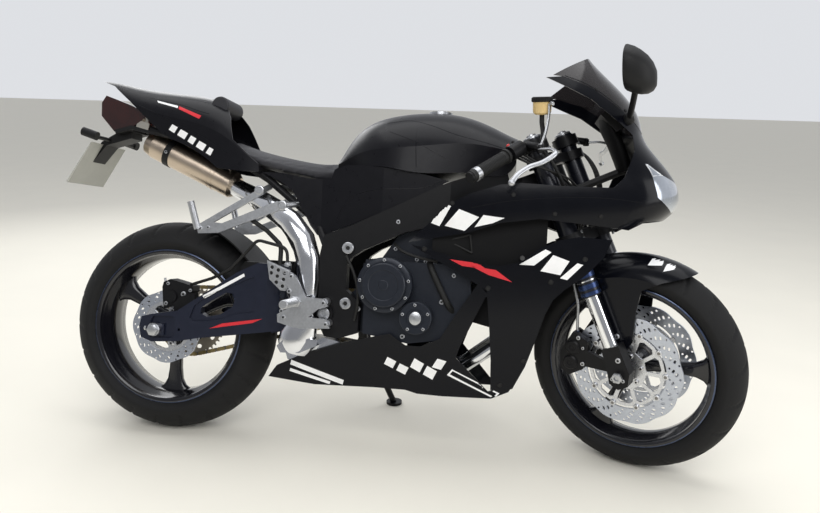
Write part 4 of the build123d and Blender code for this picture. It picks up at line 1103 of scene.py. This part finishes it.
def bar_pieces():
    """Collars, ribbed grips, buttons and cables of the two bars."""
    for name, side in SIDES:
        bm = bmesh.new()
        start, end = [Vector((x, side * y, z)) for x, y, z in (BAR_IN, BAR_OUT)]
        run = end - start
        for t, width, radius, mat in BAR_COLLARS:
            half = width / 2
            collar = [(-half, radius - 2), (-half + 1, radius), (half - 1, radius), (half, radius - 2)]
            add_turned(bm, start + run * t, run, collar, 36, mat)
        for k in range(20):
            add_turned(bm, start + run * (0.50 + 0.021 * k), run, GRIP_RIB, 28)
        button, switch = start + run * 0.26, start + run * 0.20
        for root, low, high, radius, mat in ((button, (-17, 0, 10), (-24, 0, 15), 5, 2),
                                             (switch, (-14, 0, 14), (-19, 0, 20), 4, 0)):
            add_rod(bm, root + Vector(low), root + Vector(high), radius, seg=20, chamfer=0.8, mat=mat)
        for k in range(3):
            high = start + run * (0.18 + 0.05 * k)
            cable = [high + Vector((8, 0, -16)), high + Vector((46 + 5 * k, 0, -34)),
                     (1196 + 8 * k, side * (124 - 8 * k), 822), (1224 + 8 * k, side * (84 - 8 * k), 756),
                     (1222, side * (58 - 12 * k), 668)]
            add_hose(bm, cable, 3.2)
        for offset in (-6, 6):
            add_bolt(bm, fork_at(663 + offset, side * FORK_Y, -36), -STEER_AHEAD, 4.5, 5, mat=1)
        keys = ("rubber", "silver", "red_plastic", "rubber")
        detail = finish_piece("handlebar_detail_" + name, bm, STEERED, keys, "steering")


def reservoir_piece():
    """Amber cup with a ribbed cap, its bracket and its hoses."""
    bm = bmesh.new()
    add_turned(bm, (CUP_X, CUP_Y, 994), (0, 0, 1), CUP_BODY, 48, mat=3)
    add_turned(bm, (CUP_X, CUP_Y, 1030), (0, 0, 1), CUP_CAP, 48)
    for x, y, _ in around(CUP_X, CUP_Y, 27.2, 24):
        add_rod(bm, (x, y, 1029), (x, y, 1038), 1.6, seg=8)
    add_rod(bm, (1166, -138, 1024), (1176, -142, 1022), 5, seg=16, chamfer=0.8, mat=1)
    for radius, mat, squash, points in CUP_HOSES:
        add_hose(bm, points, radius, mat=mat, squash=squash)
    keys = ("black_plastic", "silver", "rubber", "amber")
    cup = finish_piece("reservoir_cap", bm, STEERED, keys, "steering")
    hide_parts("brake_reservoir")


def add_ball(bm, centre, radius):
    """Ball end, as a turned profile."""
    profile = [(-radius * math.cos(a), max(0.3, radius * math.sin(a)))
               for a in (math.pi * k / 12 for k in range(13))]
    add_turned(bm, centre, (0, 0, 1), profile, 20)


LEVER_PATH = ((1150, 168, 905), (1190, 180, 906), (1209, 198, 897), (1190, 230, 877), (1166, 262, 866),
              (1152, 296, 850), (1146, 322, 830))


def lever_pieces():
    """Forged levers with ball ends on their perches, in place of the plain bars."""
    for name, side in SIDES:
        bm = bmesh.new()
        path = [Vector((x, side * y, z)) for x, y, z in LEVER_PATH]
        add_hose(bm, path, 6.6, seg=20, squash=0.6)
        add_ball(bm, path[-1], 9)
        add_rod(bm, (1100, side * 150, 915), (1156, side * 160, 908), 10.5, seg=28, chamfer=2, mat=1)
        add_rod(bm, (1152, side * 166, 895), (1152, side * 166, 916), 9, seg=24, chamfer=1.5, mat=1)
        add_bolt(bm, (1152, side * 166, 916), (0, 0, 1), 5, 3)
        lever = finish_piece("lever_" + name, bm, STEERED, ("silver", "frame_black"), "steering", smooth=50)
        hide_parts("control_levers")


MIRROR_Y, MIRROR_Z = 284, 1064
MIRROR_STEM = ((1306, 96, 962), (1305, 150, 984), (1303, 205, 1012), (1300, 252, 1040))
MIRROR_SHAPE = (
    # y, z of the outline seen from behind, on the right side
    (-222, 1028), (-224, 1080), (-250, 1114), (-286, 1121), (-318, 1114), (-345, 1086), (-338, 1040),
    (-312, 1015), (-270, 1011),
)
MIRROR_SECTIONS = (
    # x, scale of the outline
    (1270, 0.90), (1268, 0.955), (1272, 0.99), (1288, 1.0), (1304, 0.94), (1320, 0.82), (1333, 0.62),
    (1341, 0.36), (1343, 0.12),
)


def mirror_ring(outline, side, x, scale, drop=0.0):
    """The outline at a place along X, raked to the rear on its outer side."""
    return [Vector((x - 0.3 * p.y * scale, side * (MIRROR_Y + p.y * scale), MIRROR_Z + p.z * scale - drop))
            for p in outline]


def mirror_pieces():
    """Egg-shaped heads with a flat glass, on short stems."""
    corners = [Vector((0, -MIRROR_Y - y, z - MIRROR_Z)) for y, z in MIRROR_SHAPE]
    outline = smooth_path([corners[-1]] + corners + corners[:2], 6)[6:-7]
    for name, side in SIDES:
        bm = bmesh.new()
        shell = [mirror_ring(outline, side, x, scale, 0.32 * (x - 1268)) for x, scale in MIRROR_SECTIONS]
        add_ring_strip(bm, shell)
        add_ring_strip(bm, [mirror_ring(outline, side, x, 0.88) for x in (1269.3, 1271.0)], mat=1)
        stem = [(x, side * y, z) for x, y, z in MIRROR_STEM]
        add_hose(bm, stem, 8, squash=1.4)
        foot = [(-14, 12), (-4, 17), (6, 14), (14, 9)]
        add_turned(bm, (1304, side * 118, 968), (0, side * 0.9, 0.45), foot, 28)
        head = finish_piece("mirror_" + name, bm, BIKE, ("black_plastic", "chrome"), "chassis", smooth=50)
        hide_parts("mirrors")


# ---- fairing edges, liners and small parts --------------------------------------------------

PANEL_SCREWS = (
    # skin nodes, radius, height, places (x, z)
    (("side_fairings", "belly_pans"), 7, 2.5,
     ((780, 590), (956, 494), (1205, 585), (1060, 300), (1000, 225), (1120, 520))),
    (("front_cowl",), 6, 2.2, ((850, 716), (1120, 700), (1240, 700), (1010, 745))),
    (("windscreen",), 5, 2.5, ((1360, 940), (1296, 990), (1215, 1040))),
)
SEAMS_AND_CREASE_SHADE = (
    # skin nodes, radius, side-view line (x, z)
    (("windscreen",), 1.6, ((1418, 886), (1337, 951), (1282, 995), (1200, 1047), (1128, 1071))),
    (("front_cowl",), 1.0, ((900, 706), (1000, 728), (1120, 742), (1240, 748), (1345, 742))),
    # The fuel_tank rows lay dark beads on the tank's creases: painted shade where the creases' recess is not
    # modelled.
    (("fuel_tank",), 0.9, ((643, 940), (712, 948), (773, 933), (846, 907), (933, 888), (985, 876))),
    (("fuel_tank",), 0.9, ((657, 912), (736, 882), (782, 858), (838, 830))),
    (("fuel_tank",), 0.8, ((734, 923), (737, 880), (742, 812))),
    (("side_covers",), 1.0, ((517, 655), (538, 701), (578, 733), (653, 749), (743, 754), (787, 764),
                             (815, 776))),
    (("tail_cowl",), 1.0, ((-90, 1000), (8, 980), (70, 962), (110, 952))),
    (("tail_cowl",), 1.0, ((-120, 975), (-30, 938), (60, 900), (100, 884), (140, 862), (180, 835))),
)
LAMP_EDGE = ((1351, 848), (1369, 819), (1388, 758), (1439, 723), (1478, 741), (1458, 800), (1395, 822),
             (1351, 848))
BOOT_SECTIONS = (
    # x, z, half width, half depth
    (1252, 992, 62, 16), (1262, 960, 66, 20), (1286, 918, 62, 22), (1306, 872, 54, 22), (1318, 836, 44, 20),
)
DUCT_TOP = ((800, 0, 645), (900, 0, 662), (1000, 0, 690), (1105, 0, 700))
DUCT_LOW = ((800, 0, 586), (900, 0, 548), (1000, 0, 540), (1105, 0, 605))
DUCT_ROWS = 6
LOWER_WALL = ((868, 404), (968, 386), (982, 420), (968, 496), (880, 500))
VENT_CORNERS = ((838, 616), (900, 634), (907, 586), (838, 616))


def fairing_pieces():
    """Screws and seams of the panels, dark lines of painted shade along the tank's creases, rims of the
    headlights, and the inner walls.
    """
    bm = bmesh.new()
    skins = {names: skin_of(*names) for names in {row[0] for row in PANEL_SCREWS + SEAMS_AND_CREASE_SHADE}}
    for side in (-1, 1):
        for names, radius, height, places in PANEL_SCREWS:
            for x, z in places:
                add_skin_bolt(bm, skins[names], x, z, side, radius, height, mat=2)
        # seams of the panels, and dark lines of painted shade on the tank's creases, in gloss black
        for names, radius, points in SEAMS_AND_CREASE_SHADE:
            add_line(bm, skins[names], points, side, radius, mat=1)
    keys = ("lamp_edge", "gloss_black", "black_plastic", "rubber")
    edges = finish_piece("panel_edges", bm, BIKE, keys, "chassis")
    bm = bmesh.new()
    lamps = skin_of("headlights")
    for side in (-1, 1):
        add_line(bm, lamps, LAMP_EDGE, side, 2.0)
    rims = finish_piece("headlight_rims", bm, BIKE, ("lamp_edge", "chrome"), "chassis")
    bm = bmesh.new()
    for side in (-1, 1):
        add_liner(bm, side)
    slope, across = Vector((0.9, 0, 0.3)), Vector((0, 1, 0))
    boot = [oval(Vector((x, 0, z)), slope, across, deep, half, 28) for x, z, half, deep in BOOT_SECTIONS]
    add_ring_strip(bm, boot)
    liners = finish_piece("fairing_liners", bm, BIKE, ("liner", "rubber"), "chassis")


def add_liner(bm, side):
    """Inner walls of both fairing openings: a double sheet above with a framed vent, a plate below."""
    for depth in (0.0, 3.0):
        grid = []
        for a, b in zip(smooth_path(DUCT_TOP), smooth_path(DUCT_LOW)):
            line = []
            for k in range(DUCT_ROWS + 1):
                p = a.lerp(b, k / DUCT_ROWS)
                y = 183 - 19 * min(1.0, (p.x - 800) / 140) - depth
                line.append(bm.verts.new((p.x, side * y, p.z)))
            grid.append(line)
        for here, ahead in zip(grid, grid[1:]):
            for k in range(DUCT_ROWS):
                bm.faces.new((here[k], ahead[k], ahead[k + 1], here[k + 1]))
    outer, inner = [[bm.verts.new((x, side * (118 + 0.42 * (x - 868) - depth), z)) for x, z in LOWER_WALL]
                    for depth in (0.0, 4.0)]
    bm.faces.new(outer)
    bm.faces.new(list(reversed(inner)))
    for k in range(len(LOWER_WALL)):
        n = (k + 1) % len(LOWER_WALL)
        bm.faces.new((outer[k], inner[k], inner[n], outer[n]))
    for (x0, z0), (x1, z1) in zip(VENT_CORNERS, VENT_CORNERS[1:]):
        add_rod(bm, (x0, side * 174, z0), (x1, side * 172, z1), 2.6, seg=10, mat=1)


CAP_X = 785
FIN_COUNT = 44


def small_pieces():
    """Plate screws, filler cap screws, radiator fins and the instruments' glass."""
    bm = bmesh.new()
    for side in (-1, 1):
        p = Vector((-258, side * 60, 855)).lerp(Vector((-331, side * 60, 736)), 0.2)
        add_bolt(bm, p, Vector((-0.85, 0, 0.52)), 5, 3)
    for x, y, _ in around(CAP_X, 0, 27, 7):
        add_bolt(bm, (x, y, 988.5), (0, 0, 1), 3.6, 2.5)
    add_turned(bm, (CAP_X, 0, 988.5), (0, 0, 1), [(0, 20), (3, 20), (4, 18), (4, 1)], 40)
    add_turned(bm, (CAP_X, 0, 992), (0, 0, 1), [(0, 6), (1.5, 6), (1.5, 1)], 24, mat=1)
    screws = finish_piece("small_screws", bm, BIKE, ("silver", "rubber"), "chassis")
    bm = bmesh.new()
    low, high = Vector((1050, 0, 425)), Vector((1068, 0, 636))
    for k in range(FIN_COUNT):
        p = low.lerp(high, (k + 0.5) / FIN_COUNT)
        add_rod(bm, (p.x, -128, p.z), (p.x, 128, p.z), 1.1, seg=6)
    for y in (-142, 142):
        add_rod(bm, (low.x, y, low.z), (high.x, y, high.z), 8, seg=16, chamfer=2)
    fins = finish_piece("radiator_fins", bm, BIKE, "radiator", "chassis")
    bm = bmesh.new()
    rear, front = Vector((1235, 0, 985)), Vector((1262, 0, 1006))
    out = Vector((-0.61, 0, 0.79))
    corners = [rear.lerp(front, t) + Vector((0, y, 0)) + out * 0.6
               for t, y in ((0.12, -66), (0.12, 66), (0.88, 66), (0.88, -66))]
    add_ring_strip(bm, [[c - out * 2 for c in corners], corners])
    glass = finish_piece("instrument_glass", bm, BIKE, "display", "chassis")


markings()
seat_piece()
engine_pieces()
footrest_pieces()
exhaust_pieces()
axle_pieces()
fork_pieces()
bar_pieces()
reservoir_piece()
lever_pieces()
mirror_pieces()
fairing_pieces()
small_pieces()

# ---- stage ----------------------------------------------------------------------------------

floor_mat = material("floor", (0.82, 0.79, 0.70), 0.7, grain=3, tint=0.03)
bpy.ops.mesh.primitive_plane_add(size=60, location=(0, 0, 0))
floor = bpy.context.object
floor.name = "floor"
floor.data.materials.append(floor_mat)

world = bpy.data.worlds.new("world")
bpy.context.scene.world = world
world.use_nodes = True
sky_nodes, sky_links = world.node_tree.nodes, world.node_tree.links
sky = sky_nodes["Background"]
sky.inputs["Color"].default_value = (0.94, 0.96, 1.0, 1)
directions = sky_nodes.new("ShaderNodeTexCoord")
across = sky_nodes.new("ShaderNodeSeparateXYZ")
strength = sky_nodes.new("ShaderNodeMapRange")
for socket, value in (("From Min", -0.7), ("From Max", 0.5), ("To Min", 0.3), ("To Max", 0.78)):
    strength.inputs[socket].default_value = value
sky_links.new(directions.outputs["Generated"], across.inputs["Vector"])
sky_links.new(across.outputs["Y"], strength.inputs["Value"])
sky_links.new(strength.outputs["Result"], sky.inputs["Strength"])


def area_light(name, place, aim, size, power):
    """Rectangular lamp at a place, aimed at a point."""
    data = bpy.data.lights.new(name, "AREA")
    data.shape = "RECTANGLE"
    data.size, data.size_y = size
    data.energy = power
    lamp = bpy.data.objects.new(name, data)
    bpy.context.collection.objects.link(lamp)
    lamp.location = place
    lamp.rotation_euler = (Vector(aim) - Vector(place)).to_track_quat("-Z", "Y").to_euler()


LIGHTS = (
    # name, place, aim, size, power
    ("key", (0.4, -3.4, 3.2), (0, 0, 0.5), (4.0, 2.0), 96),
    ("top", (0.0, 0.4, 4.2), (0, 0, 0.4), (5.0, 3.0), 84),
    ("rim", (-2.5, 2.6, 2.4), (0, 0, 0.6), (2.5, 1.6), 34),
    ("front", (3.4, -1.2, 1.4), (0.4, 0, 0.6), (1.6, 2.2), 32),
)
for row in LIGHTS:
    area_light(*row)

# ---- camera: the photograph's place in the bike's own frame, through the same matrix --------

CAMERA_PLACE = Vector((1019.455, -2165.227, 609.830))
CAMERA_RIGHT = Vector((0.989, 0.140, 0.052))
CAMERA_DOWN = Vector((0.055, -0.014, -0.998))
CAMERA_FORWARD = Vector((-0.139, 0.990, -0.021))
FOCAL_PIXELS, PHOTO_PIXELS = 737.026, 820.0
SENSOR_MM = 36.0
turn_only = BIKE.to_3x3() * 1000.0
camera_data = bpy.data.cameras.new("camera")
camera_data.sensor_width = SENSOR_MM
camera_data.lens = SENSOR_MM * FOCAL_PIXELS / PHOTO_PIXELS
camera = bpy.data.objects.new("camera", camera_data)
bpy.context.collection.objects.link(camera)
axes = Matrix((turn_only @ CAMERA_RIGHT, turn_only @ -CAMERA_DOWN, turn_only @ -CAMERA_FORWARD)).transposed()
camera.matrix_world = Matrix.Translation(BIKE @ CAMERA_PLACE) @ axes.to_4x4()
scene = bpy.context.scene
scene.camera = camera
scene.view_settings.view_transform = "Standard"
